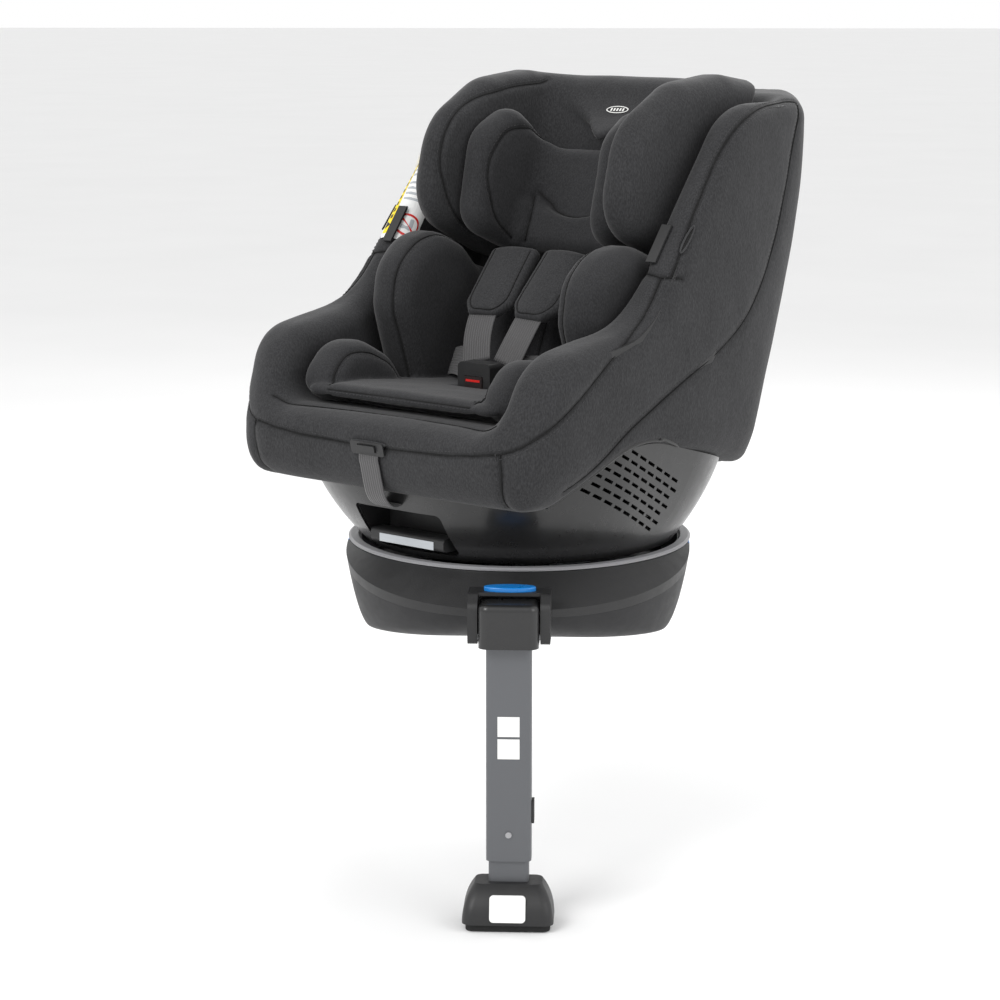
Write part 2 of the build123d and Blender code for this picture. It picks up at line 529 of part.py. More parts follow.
def build_harness():
    """Shoulder pads and straps, tongues, buckle with its button, crotch strap and the front adjuster."""
    straps, laps, tongues = [], [], []
    for side, name in ((-1, "left"), (1, "right")):
        pad_top, pad_low = (side * 36, 38, 384), (side * 31.5, -24, 318)
        save(f"shoulder_pad_{name}", strap_between(pad_top, pad_low, 58, 14), True)
        start = (side * 31, -28, 313.6)
        strap = strap_between(start, (side * 22, BUCKLE_Y + 20, 276), 36, 1.8)
        straps.append(strap - box(-0.2, 0.2, -99, 99, 200, 400))
        tongues.append(box(side * 4, side * 22, BUCKLE_Y + 8, BUCKLE_Y + 13, 262, 272))
        lap = strap_between((side * 99, 4, 262), (side * 32, BUCKLE_Y + 16, 262), 34, 1.8)
        laps.append(lap & box(-102, 102, -60, 60, 245, 300))
    save("shoulder_straps", straps, True)
    save("tongues", tongues, True)
    body = rounded_box(-22, 22, BUCKLE_Y - 14, BUCKLE_Y + 7, 236, 276, 6, Axis.Y)
    body -= box(-12.3, 12.3, BUCKLE_Y - 30, BUCKLE_Y - 4.8, 240, 262)
    save("buckle_body", body, True)
    button = rounded_box(-12, 12, BUCKLE_Y - 15.5, BUCKLE_Y - 8.5, 240.3, 261.7, 2, Axis.Y)
    save("buckle_button", button, True)
    crotch = box(-14, 14, BUCKLE_Y - 2, BUCKLE_Y + 2, 226, 235.8)
    save("lap_and_crotch_straps", laps + [crotch], True)

    front = front_panel()
    bezel = rounded_box(-22, 22, -2.2, -0.3, -7, 7, 3, Axis.Y)
    save("adjuster_bezel", front * (bezel - box(-12.4, 12.4, -5, 5, -3.4, 4.4)), True)
    save("adjuster_button", front * rounded_box(-12, 12, -4.6, -0.5, -3, 4, 1.5, Axis.Y), True)
    save("adjuster_strap", front * box(-13, 13, -2.0, -0.3, -52, -8), True)

    clip = rounded_box(-6, 6, -1.2, 1.2, -23, 23, 1.1, Axis.X)
    spots = [Pos(side * 180, 5, 404.6) * Rot(X=-RIM_LEAN) for side in (-1, 1)]
    save("harness_clips", [spot * Pos(0, -2.2, 0) * clip for spot in spots], True)
    strip = [(22, 394), (96, 489), (120, 470), (46, 375)]
    label = side_prism(strip, [4, 4, 4, 4], -(CAVITY_HALF_W + 14) + 0.2, -(CAVITY_HALF_W + 14) + 0.7)
    save("warning_label", label, True)


def main():
    """Builds every sub-part and writes one STEP file for each."""
    build_base()
    build_base_controls()
    build_leg()
    build_isofix()
    build_turntable()
    build_bowl()
    build_shell()
    build_insert()
    build_headrest()
    build_harness()
    os.makedirs("parts", exist_ok=True)
    for name, solids in PARTS.items():
        shape = solids[0] if len(solids) == 1 else Compound(children=solids)
        export_step(shape, f"parts/{name}.step")


main()
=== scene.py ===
"""Visual model of a child car seat that turns and reclines on a base with a load leg.

Soft parts are described as smooth volumes in the seat's own space, in millimetres and facing -Y,
then skinned, settled, sewn and turned to the seat's stored heading. Hard parts keep their
engineering mesh and are dressed with procedural finishes.
"""

import json
import logging
import math
from collections.abc import Callable, Sequence
from dataclasses import dataclass, field
from enum import Enum

import bpy
import numpy as np
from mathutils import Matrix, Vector
from mathutils.kdtree import KDTree

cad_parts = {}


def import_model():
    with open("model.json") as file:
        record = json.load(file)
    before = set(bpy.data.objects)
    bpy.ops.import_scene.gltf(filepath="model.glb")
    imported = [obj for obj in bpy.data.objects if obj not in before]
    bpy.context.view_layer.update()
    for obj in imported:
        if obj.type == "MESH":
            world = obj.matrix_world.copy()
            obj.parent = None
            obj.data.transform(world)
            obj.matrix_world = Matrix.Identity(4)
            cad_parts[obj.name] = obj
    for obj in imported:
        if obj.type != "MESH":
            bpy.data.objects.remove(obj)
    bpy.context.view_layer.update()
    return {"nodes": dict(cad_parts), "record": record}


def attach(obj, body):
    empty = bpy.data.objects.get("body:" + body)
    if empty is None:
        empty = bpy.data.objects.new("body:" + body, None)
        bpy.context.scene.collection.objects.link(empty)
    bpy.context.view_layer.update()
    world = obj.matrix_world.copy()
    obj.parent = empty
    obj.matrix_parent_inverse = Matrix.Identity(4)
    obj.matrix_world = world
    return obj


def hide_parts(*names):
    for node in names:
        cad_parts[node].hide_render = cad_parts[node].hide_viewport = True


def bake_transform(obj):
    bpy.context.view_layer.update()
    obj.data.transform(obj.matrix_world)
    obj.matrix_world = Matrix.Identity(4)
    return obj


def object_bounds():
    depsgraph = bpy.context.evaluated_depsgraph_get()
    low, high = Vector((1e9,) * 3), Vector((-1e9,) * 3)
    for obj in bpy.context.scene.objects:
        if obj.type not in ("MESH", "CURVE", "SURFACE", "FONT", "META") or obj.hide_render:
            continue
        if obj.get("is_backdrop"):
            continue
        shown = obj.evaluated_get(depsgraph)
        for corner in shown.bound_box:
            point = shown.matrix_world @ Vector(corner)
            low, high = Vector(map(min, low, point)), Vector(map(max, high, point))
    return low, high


LOG = logging.getLogger("car_seat")

MM = 0.001
SEAT_TURN = math.radians(-37.0)
BACK_ANGLE = math.radians(21.5)
BACK_Y, BACK_Z = 100.0, 220.0
COS_BACK, SIN_BACK = math.cos(BACK_ANGLE), math.sin(BACK_ANGLE)

Array = np.ndarray
Distance = Callable[[Array, Array, Array], Array]
Pair = tuple[float, float]
Triple = tuple[float, float, float]
Faces = list[list[int]]
Socket = bpy.types.NodeSocket


# ---- spaces -------------------------------------------------------------------------------------
def to_frame(points: Array) -> Array:
    """Turns points from the seat's space in millimetres to the shared frame in metres.

    Args:
        points: An N x 3 array in the seat's space.

    Returns:
        An N x 3 array in metres.
    """
    points = np.asarray(points, float)
    cosine, sine = math.cos(SEAT_TURN), math.sin(SEAT_TURN)
    x = points[:, 0] * cosine - points[:, 1] * sine
    y = points[:, 0] * sine + points[:, 1] * cosine
    return np.stack([x, y, points[:, 2]], 1) * MM


def on_back(x: float, depth: float, height: float) -> Triple:
    """A point given across, in front of and up the backrest, in the seat's space."""
    return (x, BACK_Y + COS_BACK * depth + SIN_BACK * height, BACK_Z - SIN_BACK * depth + COS_BACK * height)


def back_axes(y: Array, z: Array) -> tuple[Array, Array]:
    """The depth and height on the backrest of points at y and z in the seat's space."""
    dy, dz = y - BACK_Y, z - BACK_Z
    return dy * COS_BACK - dz * SIN_BACK, dy * SIN_BACK + dz * COS_BACK


# ---- smooth volumes -----------------------------------------------------------------------------
def rounded_line(points: Sequence[Pair], radii: Sequence[float], arc_steps: int = 9) -> Array:
    """A closed outline with its corners rounded.

    Args:
        points: The corners in order.
        radii: One radius for each corner.
        arc_steps: Segments in each rounded corner.

    Returns:
        An N x 2 array of points along the outline.
    """
    corners = np.array(points, float)
    line = []
    for i, corner in enumerate(corners):
        before, after = corners[i - 1] - corner, corners[(i + 1) % len(corners)] - corner
        reach = 0.49 * min(np.linalg.norm(before), np.linalg.norm(after))
        u, v = before / np.linalg.norm(before), after / np.linalg.norm(after)
        angle = math.acos(float(np.clip(u @ v, -1, 1)))
        if angle > math.pi - 0.02:
            line.append(corner)
            continue
        cut = min(radii[i] / math.tan(angle / 2), reach)
        radius = cut * math.tan(angle / 2)
        centre = corner + (u + v) / np.linalg.norm(u + v) * radius / math.sin(angle / 2)
        start, stop = corner + u * cut - centre, corner + v * cut - centre
        sweep = math.pi - angle
        for k in range(arc_steps + 1):
            s = k / arc_steps
            turned = math.sin((1 - s) * sweep) * start + math.sin(s * sweep) * stop
            line.append(centre + turned / math.sin(sweep))
    return np.array(line)


class Profile:
    """A closed outline with rounded corners that tells how far a point is outside it."""

    def __init__(self, points: Sequence[Pair], radii: Sequence[float], step: float = 3.0) -> None:
        """Works the distances out on a table.

        Args:
            points: The corners in order.
            radii: One radius for each corner.
            step: The table's pitch in millimetres.
        """
        self.line = rounded_line(points, radii)
        margin = 60.0
        self.low = self.line.min(0) - margin
        self.step = step
        counts = np.ceil((self.line.max(0) + margin - self.low) / step).astype(int) + 1
        a = self.low[0] + step * np.arange(counts[0])[:, None]
        b = self.low[1] + step * np.arange(counts[1])[None, :]
        nearest = np.full((counts[0], counts[1]), 1e12)
        inside = np.zeros((counts[0], counts[1]), bool)
        for p, q in zip(self.line, np.roll(self.line, -1, 0)):
            run = q - p
            length = float(run @ run)
            if length < 1e-9:
                continue
            t = np.clip(((a - p[0]) * run[0] + (b - p[1]) * run[1]) / length, 0, 1)
            nearest = np.minimum(nearest, (a - p[0] - t * run[0]) ** 2 + (b - p[1] - t * run[1]) ** 2)
            if abs(run[1]) > 1e-9:
                spans = (p[1] > b) != (q[1] > b)
                inside ^= spans & (a < p[0] + (b - p[1]) * run[0] / run[1])
        self.table = np.where(inside, -1.0, 1.0) * np.sqrt(nearest)

    def __call__(self, a: Array, b: Array) -> Array:
        """The signed distance of points (a, b), negative inside.

        Args:
            a: First coordinates.
            b: Second coordinates.

        Returns:
            The distances.
        """
        a, b = np.broadcast_arrays(np.asarray(a, float), np.asarray(b, float))
        top = np.array(self.table.shape) - 1.001
        fa = np.clip((a - self.low[0]) / self.step, 0, top[0])
        fb = np.clip((b - self.low[1]) / self.step, 0, top[1])
        ia, ib = fa.astype(int), fb.astype(int)
        fa, fb = fa - ia, fb - ib
        table = self.table
        low = table[ia, ib] * (1 - fb) + table[ia, ib + 1] * fb
        high = table[ia + 1, ib] * (1 - fb) + table[ia + 1, ib + 1] * fb
        return low * (1 - fa) + high * fa


def both(a: Array, b: Array, radius: float | Array) -> Array:
    """Where two volumes meet, with the edge between them rounded to a radius."""
    a, b = a + radius, b + radius
    return np.minimum(np.maximum(a, b), 0) + np.hypot(np.maximum(a, 0), np.maximum(b, 0)) - radius


def either(a: Array, b: Array, radius: float | Array) -> Array:
    """Two volumes joined, with the valley between them filled to a radius."""
    return -both(-a, -b, radius)


def between(value: Array, low: float, high: float) -> Array:
    """How far a value is from low to high, from 0 to 1 and eased at both ends."""
    share = np.clip((value - low) / (high - low), 0, 1)
    return share * share * (3 - 2 * share)


def skin(distance: Distance, low: Triple, high: Triple, step: float) -> tuple[Array, Array]:
    """Skins a volume with a closed net of quads.

    Args:
        distance: The volume's signed distance.
        low: Lowest corner of the space to search.
        high: Highest corner of the space to search.
        step: Pitch of the net.

    Returns:
        Points, N x 3, and quads that face outwards, M x 4.
    """
    axes = [np.arange(low[i], high[i] + step, step) for i in range(3)]
    grid = np.meshgrid(*axes, indexing="ij", sparse=True)
    shape = tuple(len(axis) for axis in axes)
    values = np.broadcast_to(distance(*grid), shape)
    cells = tuple(n - 1 for n in shape)
    count = int(np.prod(cells))
    total = np.zeros((count, 4))
    quads = []
    for axis in range(3):
        near = np.take(values, range(shape[axis] - 1), axis)
        far = np.take(values, range(1, shape[axis]), axis)
        index = np.argwhere((near < 0) != (far < 0))
        others = [i for i in range(3) if i != axis]
        for other in others:
            index = index[(index[:, other] >= 1) & (index[:, other] <= shape[other] - 2)]
        at = tuple(index.T)
        f0, f1 = near[at], far[at]
        point = index.astype(float)
        point[:, axis] += f0 / (f0 - f1)
        ring = []
        for da, db in ((0, 0), (1, 0), (1, 1), (0, 1)):
            cell = index.copy()
            cell[:, others[0]] -= da
            cell[:, others[1]] -= db
            flat = np.ravel_multi_index(tuple(cell.T), cells)
            ring.append(flat)
            for c in range(3):
                total[:, c] += np.bincount(flat, weights=point[:, c], minlength=count)
            total[:, 3] += np.bincount(flat, minlength=count)
        faces = np.stack(ring, 1)
        flip = (f0 >= 0) ^ (axis == 1)
        faces[flip] = faces[flip][:, ::-1]
        quads.append(faces)
    joined = np.concatenate(quads)
    used, renumbered = np.unique(joined, return_inverse=True)
    points = total[used, :3] / total[used, 3:4] * step + np.array(low)
    return points, renumbered.reshape(joined.shape)


def slope(distance: Distance, points: Array, reach: float = 1.5) -> Array:
    """The direction in which the distance grows at each point, with its rate.

    Args:
        distance: The volume's signed distance.
        points: An N x 3 array.
        reach: How far to each side the distance is read.

    Returns:
        An N x 3 array of rates along the axes.
    """
    steps = np.eye(3) * reach
    rates = [distance(*(points + s).T) - distance(*(points - s).T) for s in steps]
    return np.stack(rates, 1) / (2 * reach)


def onto(distance: Distance, points: Array, rounds: int = 2) -> tuple[Array, Array]:
    """Moves points onto a volume's surface.

    Args:
        distance: The volume's signed distance.
        points: An N x 3 array.
        rounds: How many times to step.

    Returns:
        The moved points and the outward normals there.
    """
    for _ in range(rounds):
        rate = slope(distance, points)
        size = np.maximum((rate**2).sum(1), 0.05)
        step = np.clip(distance(*points.T), -6, 6)
        points = points - rate * (step / size)[:, None]
    rate = slope(distance, points)
    return points, rate / np.maximum(np.linalg.norm(rate, axis=1), 1e-6)[:, None]


def evened(points: Array, quads: Array, share: float = 0.5) -> Array:
    """Points drawn towards the middle of their neighbours on the net.

    Args:
        points: The net's points.
        quads: The net's faces.
        share: How much of the way they move.

    Returns:
        The moved points.
    """
    ends = np.concatenate([quads[:, [0, 1]], quads[:, [1, 2]], quads[:, [2, 3]], quads[:, [3, 0]]])
    count = np.bincount(ends[:, 0], minlength=len(points)).astype(float)
    middle = np.stack(
        [np.bincount(ends[:, 0], weights=points[ends[:, 1], c], minlength=len(points)) for c in range(3)], 1
    )
    return points * (1 - share) + middle / np.maximum(count, 1)[:, None] * share


def spline(points: Sequence[Triple], pitch: float, closed: bool = False) -> Array:
    """A smooth line through points, sampled at an even pitch.

    Args:
        points: The points that it goes through.
        pitch: About how far apart its samples are.
        closed: Whether it joins up with itself.

    Returns:
        An N x 3 array of samples.
    """
    knots = np.array(points, float)
    if closed:
        knots = np.concatenate([knots[-1:], knots, knots[:2]])
    else:
        knots = np.concatenate([2 * knots[:1] - knots[1:2], knots, 2 * knots[-1:] - knots[-2:-1]])
    line = []
    for a, b, c, d in zip(knots, knots[1:], knots[2:], knots[3:]):
        for t in np.linspace(0, 1, 24, endpoint=False):
            bend, twist = 2 * a - 5 * b + 4 * c - d, 3 * b - a - 3 * c + d
            line.append(0.5 * (2 * b + (c - a) * t + bend * t**2 + twist * t**3))
    line.append(knots[-2])
    line = np.array(line)
    run = np.concatenate([[0], np.cumsum(np.linalg.norm(np.diff(line, axis=0), axis=1))])
    places = np.linspace(0, run[-1], max(int(run[-1] / pitch), 2) + 1)
    return np.stack([np.interp(places, run, line[:, i]) for i in range(3)], 1)


# ---- meshes -------------------------------------------------------------------------------------
def mesh_object(
    name: str, points: Array, faces: Sequence[Sequence[int]], smooth: bool = True
) -> bpy.types.Object:
    """A mesh object made from points in metres, at the origin.

    Args:
        name: The object's name.
        points: An N x 3 array in the shared frame.
        faces: Corner numbers of each face.
        smooth: Whether its faces are shaded smooth.

    Returns:
        The new object.
    """
    mesh = bpy.data.meshes.new(name)
    mesh.from_pydata(np.asarray(points).tolist(), [], [list(map(int, face)) for face in faces])
    mesh.update()
    mesh.polygons.foreach_set("use_smooth", [smooth] * len(mesh.polygons))
    body = bpy.data.objects.new(name, mesh)
    bpy.context.scene.collection.objects.link(body)
    return body


def tube(line: Array, radius: float, sides: int = 8, closed: bool = False) -> tuple[Array, Faces]:
    """A round tube along a line, with closed ends.

    Args:
        line: Points along its middle.
        radius: Its radius in the same unit.
        sides: Sides of its section.
        closed: Whether it joins up with itself.

    Returns:
        Points and faces.
    """
    count = len(line)
    if closed:
        run = np.roll(line, -1, 0) - np.roll(line, 1, 0)
    else:
        run = np.gradient(line, axis=0)
    run = run / np.maximum(np.linalg.norm(run, axis=1), 1e-9)[:, None]
    across = np.cross(run[0], [0.3, 0.2, 0.93])
    frames = []
    for tangent in run:
        across = across - tangent * (across @ tangent)
        across = across / np.linalg.norm(across)
        frames.append((across, np.cross(tangent, across)))
    turn = 2 * np.pi * np.arange(sides) / sides
    rings = [
        centre + radius * (np.cos(turn)[:, None] * a + np.sin(turn)[:, None] * b)
        for centre, (a, b) in zip(line, frames)
    ]
    points = np.concatenate(rings)
    faces = []
    for i in range(count if closed else count - 1):
        j = (i + 1) % count
        for k in range(sides):
            n = (k + 1) % sides
            faces.append([i * sides + k, i * sides + n, j * sides + n, j * sides + k])
    if not closed:
        faces.append(list(range(sides))[::-1])
        faces.append([(count - 1) * sides + k for k in range(sides)])
    return points, faces


def gathered(parts: Sequence[tuple[Array, Faces]]) -> tuple[Array, Faces]:
    """Several sets of points and faces as one.

    Args:
        parts: Points and faces of each.

    Returns:
        All the points, and the faces renumbered to them.
    """
    points, faces, start = [], [], 0
    for part_points, part_faces in parts:
        points.append(part_points)
        faces.extend([[start + i for i in face] for face in part_faces])
        start += len(part_points)
    return np.concatenate(points), faces


def ribbon(line: Array, across: Array, width: float, thick: float) -> tuple[Array, Faces, Array]:
    """A flat webbing run with rounded edges.

    Args:
        line: Points along its middle, N x 3.
        across: Unit vectors across it, N x 3.
        width: Its width.
        thick: Its thickness.

    Returns:
        Points, faces, and for each point its place across and along in millimetres.
    """
    run = np.gradient(line, axis=0)
    run = run / np.linalg.norm(run, axis=1)[:, None]
    across = across - run * (across * run).sum(1)[:, None]
    across = across / np.linalg.norm(across, axis=1)[:, None]
    out = np.cross(run, across)
    half, edge = width / 2, thick / 2
    section = [(-half, 0), (-half + edge * 0.5, edge * 0.8)]
    section += [(x, edge) for x in np.linspace(-half + edge * 1.5, half - edge * 1.5, 9)]
    section += [(half - edge * 0.5, edge * 0.8), (half, 0), (half - edge * 0.5, -edge * 0.8)]
    section += [(x, -edge) for x in np.linspace(half - edge * 1.5, -half + edge * 1.5, 9)]
    section += [(-half + edge * 0.5, -edge * 0.8)]
    sides = len(section)
    length = np.concatenate([[0], np.cumsum(np.linalg.norm(np.diff(line, axis=0), axis=1))])
    points, places = [], []
    for i, centre in enumerate(line):
        for a, b in section:
            points.append(centre + across[i] * a + out[i] * b)
            places.append((a, length[i]))
    faces = []
    for i in range(len(line) - 1):
        for k in range(sides):
            n = (k + 1) % sides
            faces.append([i * sides + k, (i + 1) * sides + k, (i + 1) * sides + n, i * sides + n])
    faces.append(list(range(sides)))
    faces.append([(len(line) - 1) * sides + k for k in range(sides)][::-1])
    return np.array(points), faces, np.array(places)


def lay_uv(body: bpy.types.Object, places: Array) -> None:
    """Gives a mesh a UV map.

    Args:
        body: The piece.
        places: For each point its place across and along the cloth, in metres.
    """
    uv = body.data.uv_layers.new(name="cloth")
    corners = np.zeros(len(body.data.loops), int)
    body.data.loops.foreach_get("vertex_index", corners)
    uv.data.foreach_set("uv", places[corners].astype(np.float32).ravel())


def set_field(body: bpy.types.Object, name: str, values: Array) -> None:
    """Stores one number for each point of a mesh.

    Args:
        body: The piece.
        name: The attribute's name.
        values: The numbers, in the order of the points.
    """
    attribute = body.data.attributes.new(name, "FLOAT", "POINT")
    attribute.data.foreach_set("value", np.asarray(values, np.float32))


# ---- finishes -----------------------------------------------------------------------------------
class Bench:
    """A material's node tree while it is being laid out."""

    def __init__(self, name: str) -> None:
        """Starts a material with a Principled shader joined to its output.

        Args:
            name: The material's name.
        """
        self.material = bpy.data.materials.new(name)
        self.material.use_nodes = True
        self.tree = self.material.node_tree
        self.tree.nodes.clear()
        self.shader = self.add("ShaderNodeBsdfPrincipled")
        output = self.add("ShaderNodeOutputMaterial")
        self.join(self.shader.outputs["BSDF"], output.inputs["Surface"])
        self.coordinates = self.add("ShaderNodeTexCoord")

    def add(self, kind: str, **settings: object) -> bpy.types.Node:
        """Adds a node and sets its properties.

        Args:
            kind: The node's type.
            **settings: Its properties by name.

        Returns:
            The node.
        """
        node = self.tree.nodes.new(kind)
        for key, value in settings.items():
            setattr(node, key, value)
        return node

    def join(self, source: Socket, target: Socket) -> None:
        """Links one socket to another."""
        self.tree.links.new(source, target)

    def feed(self, socket: Socket, value: object) -> None:
        """Links a socket to an output, or sets its number.

        Args:
            socket: The socket to fill.
            value: An output to link, or a number or colour.
        """
        if isinstance(value, Socket):
            self.join(value, socket)
        else:
            socket.default_value = value

    def noise(
        self, scale: float, detail: float = 3.0, rough: float = 0.55, source: Socket | None = None
    ) -> Socket:
        """A noise pattern, from 0 to 1.

        Args:
            scale: Repeats in a metre.
            detail: Octaves of smaller noise.
            rough: How strong each smaller octave is.
            source: Where it is read; the object's own coordinates if none.

        Returns:
            The pattern's socket.
        """
        node = self.add("ShaderNodeTexNoise")
        self.join(source or self.coordinates.outputs["Object"], node.inputs["Vector"])
        node.inputs["Scale"].default_value = scale
        node.inputs["Detail"].default_value = detail
        node.inputs["Roughness"].default_value = rough
        return node.outputs["Fac"]

    def cells(self, scale: float) -> Socket:
        """Distance to the middle of small cells, as on grained plastic.

        Args:
            scale: Cells in a metre.

        Returns:
            The pattern's socket.
        """
        node = self.add("ShaderNodeTexVoronoi")
        self.join(self.coordinates.outputs["Object"], node.inputs["Vector"])
        node.inputs["Scale"].default_value = scale
        return node.outputs["Distance"]

    def sum_of(self, kind: str, a: object, b: object = 0.0, c: object = 0.0) -> Socket:
        """The result of one sum.

        Args:
            kind: The Math node's operation.
            a: Its first number or socket.
            b: Its second.
            c: Its third, where it has one.

        Returns:
            The result's socket.
        """
        node = self.add("ShaderNodeMath", operation=kind)
        for socket, value in zip(node.inputs, (a, b, c)):
            self.feed(socket, value)
        return node.outputs[0]

    def spread(self, value: Socket, low: float, high: float, to_low: float, to_high: float) -> Socket:
        """A value carried from one range to another, held at its ends.

        Args:
            value: The value.
            low: The first range's start.
            high: The first range's end.
            to_low: The second range's start.
            to_high: The second range's end.

        Returns:
            The new value's socket.
        """
        node = self.add("ShaderNodeMapRange")
        for socket, number in zip(node.inputs, (value, low, high, to_low, to_high)):
            self.feed(socket, number)
        return node.outputs["Result"]

    def mixed(self, share: object, first: Triple, second: Triple) -> Socket:
        """A colour between two.

        Args:
            share: From 0 for the first colour to 1 for the second.
            first: A colour or a socket that gives one.
            second: A colour or a socket that gives one.

        Returns:
            The mixed colour's socket.
        """
        node = self.add("ShaderNodeMix", data_type="RGBA")
        self.feed(node.inputs[0], share)
        for socket, colour in ((node.inputs[6], first), (node.inputs[7], second)):
            self.feed(socket, colour if isinstance(colour, Socket) else (*colour, 1.0))
        return node.outputs[2]

    def bump(self, height: object, strength: float, distance: float) -> None:
        """Adds relief to whatever relief the shader already has.

        Args:
            height: What gives the height.
            strength: Share of the relief that shows.
            distance: The relief's full height in metres.
        """
        node = self.add("ShaderNodeBump")
        node.inputs["Strength"].default_value = strength
        node.inputs["Distance"].default_value = distance
        self.feed(node.inputs["Height"], height)
        normal = self.shader.inputs["Normal"]
        if normal.is_linked:
            self.join(normal.links[0].from_socket, node.inputs["Normal"])
        self.join(node.outputs["Normal"], normal)

    def field(self, name: str) -> Socket:
        """A number stored on the mesh's points."""
        return self.add("ShaderNodeAttribute", attribute_name=name).outputs["Fac"]


@dataclass(frozen=True)
class Cloth:
    """A knitted cover fabric over foam."""

    name: str
    colour: Triple
    flecks: Triple
    sheen: float = 0.12
    weave_pitch: float = 0.0013
    # Whether the cloth gets painted shade along its seams.
    sewn: bool = True

    def make(self) -> bpy.types.Material:
        """Makes the fabric, with its weave, flecks, soft colour change and painted shade along the seams.

        Returns:
            The material.
        """
        bench = Bench(self.name)
        shader = bench.shader
        stretch = bench.add("ShaderNodeMapping")
        stretch.inputs["Scale"].default_value = (1.0, 1.0, 0.35)
        bench.join(bench.coordinates.outputs["Object"], stretch.inputs["Vector"])
        threads = bench.noise(1.0 / self.weave_pitch, 2.0, 0.6, stretch.outputs["Vector"])
        mottle = bench.noise(16.0, 4.0, 0.6)
        thread_share = bench.spread(threads, 0.36, 0.68, 0.0, 0.75)
        share = bench.sum_of("ADD", thread_share, bench.spread(mottle, 0.3, 0.7, 0.0, 0.3))
        colour = bench.mixed(share, self.colour, self.flecks)
        # Painted shade: the colour is darkened along the seam grooves, where shade falls.
        if self.sewn:
            dark = tuple(c * 0.32 for c in self.colour)
            seam_shade = bench.spread(bench.field("seam_shade"), 0.35, 1.0, 0.0, 0.85)
            colour = bench.mixed(seam_shade, colour, dark)
        bench.join(colour, shader.inputs["Base Color"])
        bench.join(bench.spread(threads, 0.2, 0.8, 0.94, 0.78), shader.inputs["Roughness"])
        shader.inputs["Specular IOR Level"].default_value = 0.25
        shader.inputs["Sheen Weight"].default_value = self.sheen
        shader.inputs["Sheen Roughness"].default_value = 0.45
        bench.bump(bench.noise(55.0, 3.0), 0.22, 0.004)
        bench.bump(threads, 0.35, 0.0006)
        return bench.material


@dataclass(frozen=True)
class Webbing:
    """A ribbed harness strap, its ribs along its length."""

    name: str
    colour: Triple
    rib: float = 0.0030

    def make(self) -> bpy.types.Material:
        """Makes the webbing, patterned on the strap's own map, its rib crests painted lighter as highlight
        and the hollows between them darker as shade.

        Returns:
            The material.
        """
        bench = Bench(self.name)
        shader = bench.shader
        parts = bench.add("ShaderNodeSeparateXYZ")
        bench.join(bench.coordinates.outputs["UV"], parts.inputs["Vector"])
        across, along = 2 * math.pi / self.rib, 2 * math.pi / (self.rib * 0.55)
        rib = bench.sum_of("SINE", bench.sum_of("MULTIPLY", parts.outputs["X"], across))
        pick = bench.sum_of("SINE", bench.sum_of("MULTIPLY", parts.outputs["Y"], along))
        twill = bench.sum_of("MULTIPLY", rib, pick)
        grain = bench.noise(1500.0, 2.0)
        ribs = bench.sum_of("MULTIPLY", rib, 0.7)
        share = bench.spread(bench.sum_of("ADD", ribs, bench.sum_of("MULTIPLY", twill, 0.3)), -1, 1, 0, 1)
        # Painted highlight and shade: the colour follows the ribs' relief, lighter on the crests and darker
        # in the hollows.
        light = tuple(min(c * 1.9, 1.0) for c in self.colour)
        bench.join(bench.mixed(share, self.colour, light), shader.inputs["Base Color"])
        bench.join(bench.spread(grain, 0.2, 0.8, 0.72, 0.5), shader.inputs["Roughness"])
        shader.inputs["Sheen Weight"].default_value = 0.2
        bench.bump(share, 0.6, 0.0008)
        return bench.material


@dataclass(frozen=True)
class Plastic:
    """A moulded plastic, from matt and grained to glossy."""

    name: str
    colour: Triple
    rough: float = 0.45
    grain: float = 0.15
    grain_pitch: float = 0.0011
    coat: float = 0.0
    level: float = 0.5

    def make(self) -> bpy.types.Material:
        """Makes the plastic, with its grain, flow marks, dust and rubbed patches.

        Returns:
            The material.
        """
        bench = Bench(self.name)
        shader = bench.shader
        cloud = bench.noise(9.0, 5.0, 0.6)
        rubbed = bench.noise(70.0, 4.0, 0.7)
        light = tuple(min(c * 1.25 + 0.004, 1.0) for c in self.colour)
        share = bench.spread(cloud, 0.3, 0.75, 0.0, 1.0)
        bench.join(bench.mixed(share, self.colour, light), shader.inputs["Base Color"])
        spread = bench.sum_of("ADD", bench.spread(rubbed, 0.3, 0.7, -0.05, 0.06), self.rough)
        bench.join(spread, shader.inputs["Roughness"])
        shader.inputs["Specular IOR Level"].default_value = self.level
        shader.inputs["Coat Weight"].default_value = self.coat
        shader.inputs["Coat Roughness"].default_value = 0.12
        bench.bump(bench.noise(12.0, 2.0), 0.05, 0.004)
        bench.bump(bench.cells(1.0 / self.grain_pitch), self.grain, 0.0004)
        return bench.material


@dataclass(frozen=True)
class Metal:
    """Bare or painted metal with fine drawn marks."""

    name: str
    colour: Triple
    rough: float = 0.35
    bare: float = 1.0
    flake: float = 0.0

    def make(self) -> bpy.types.Material:
        """Makes the metal, its marks running along Z.

        Returns:
            The material.
        """
        bench = Bench(self.name)
        shader = bench.shader
        drawn = bench.add("ShaderNodeMapping")
        drawn.inputs["Scale"].default_value = (1.0, 1.0, 0.03)
        bench.join(bench.coordinates.outputs["Object"], drawn.inputs["Vector"])
        marks = bench.noise(420.0, 3.0, 0.6, drawn.outputs["Vector"])
        dark = tuple(c * 0.82 for c in self.colour)
        share = bench.spread(marks, 0.3, 0.7, 0.0, 1.0)
        if self.flake:
            flakes = bench.spread(bench.noise(2200.0, 1.0), 0.5, 0.7, 0.0, self.flake)
            share = bench.sum_of("ADD", share, flakes)
        bench.join(bench.mixed(share, dark, self.colour), shader.inputs["Base Color"])
        rough = bench.spread(marks, 0.2, 0.8, self.rough - 0.07, self.rough + 0.09)
        bench.join(rough, shader.inputs["Roughness"])
        shader.inputs["Metallic"].default_value = self.bare
        bench.bump(marks, 0.12, 0.0003)
        return bench.material


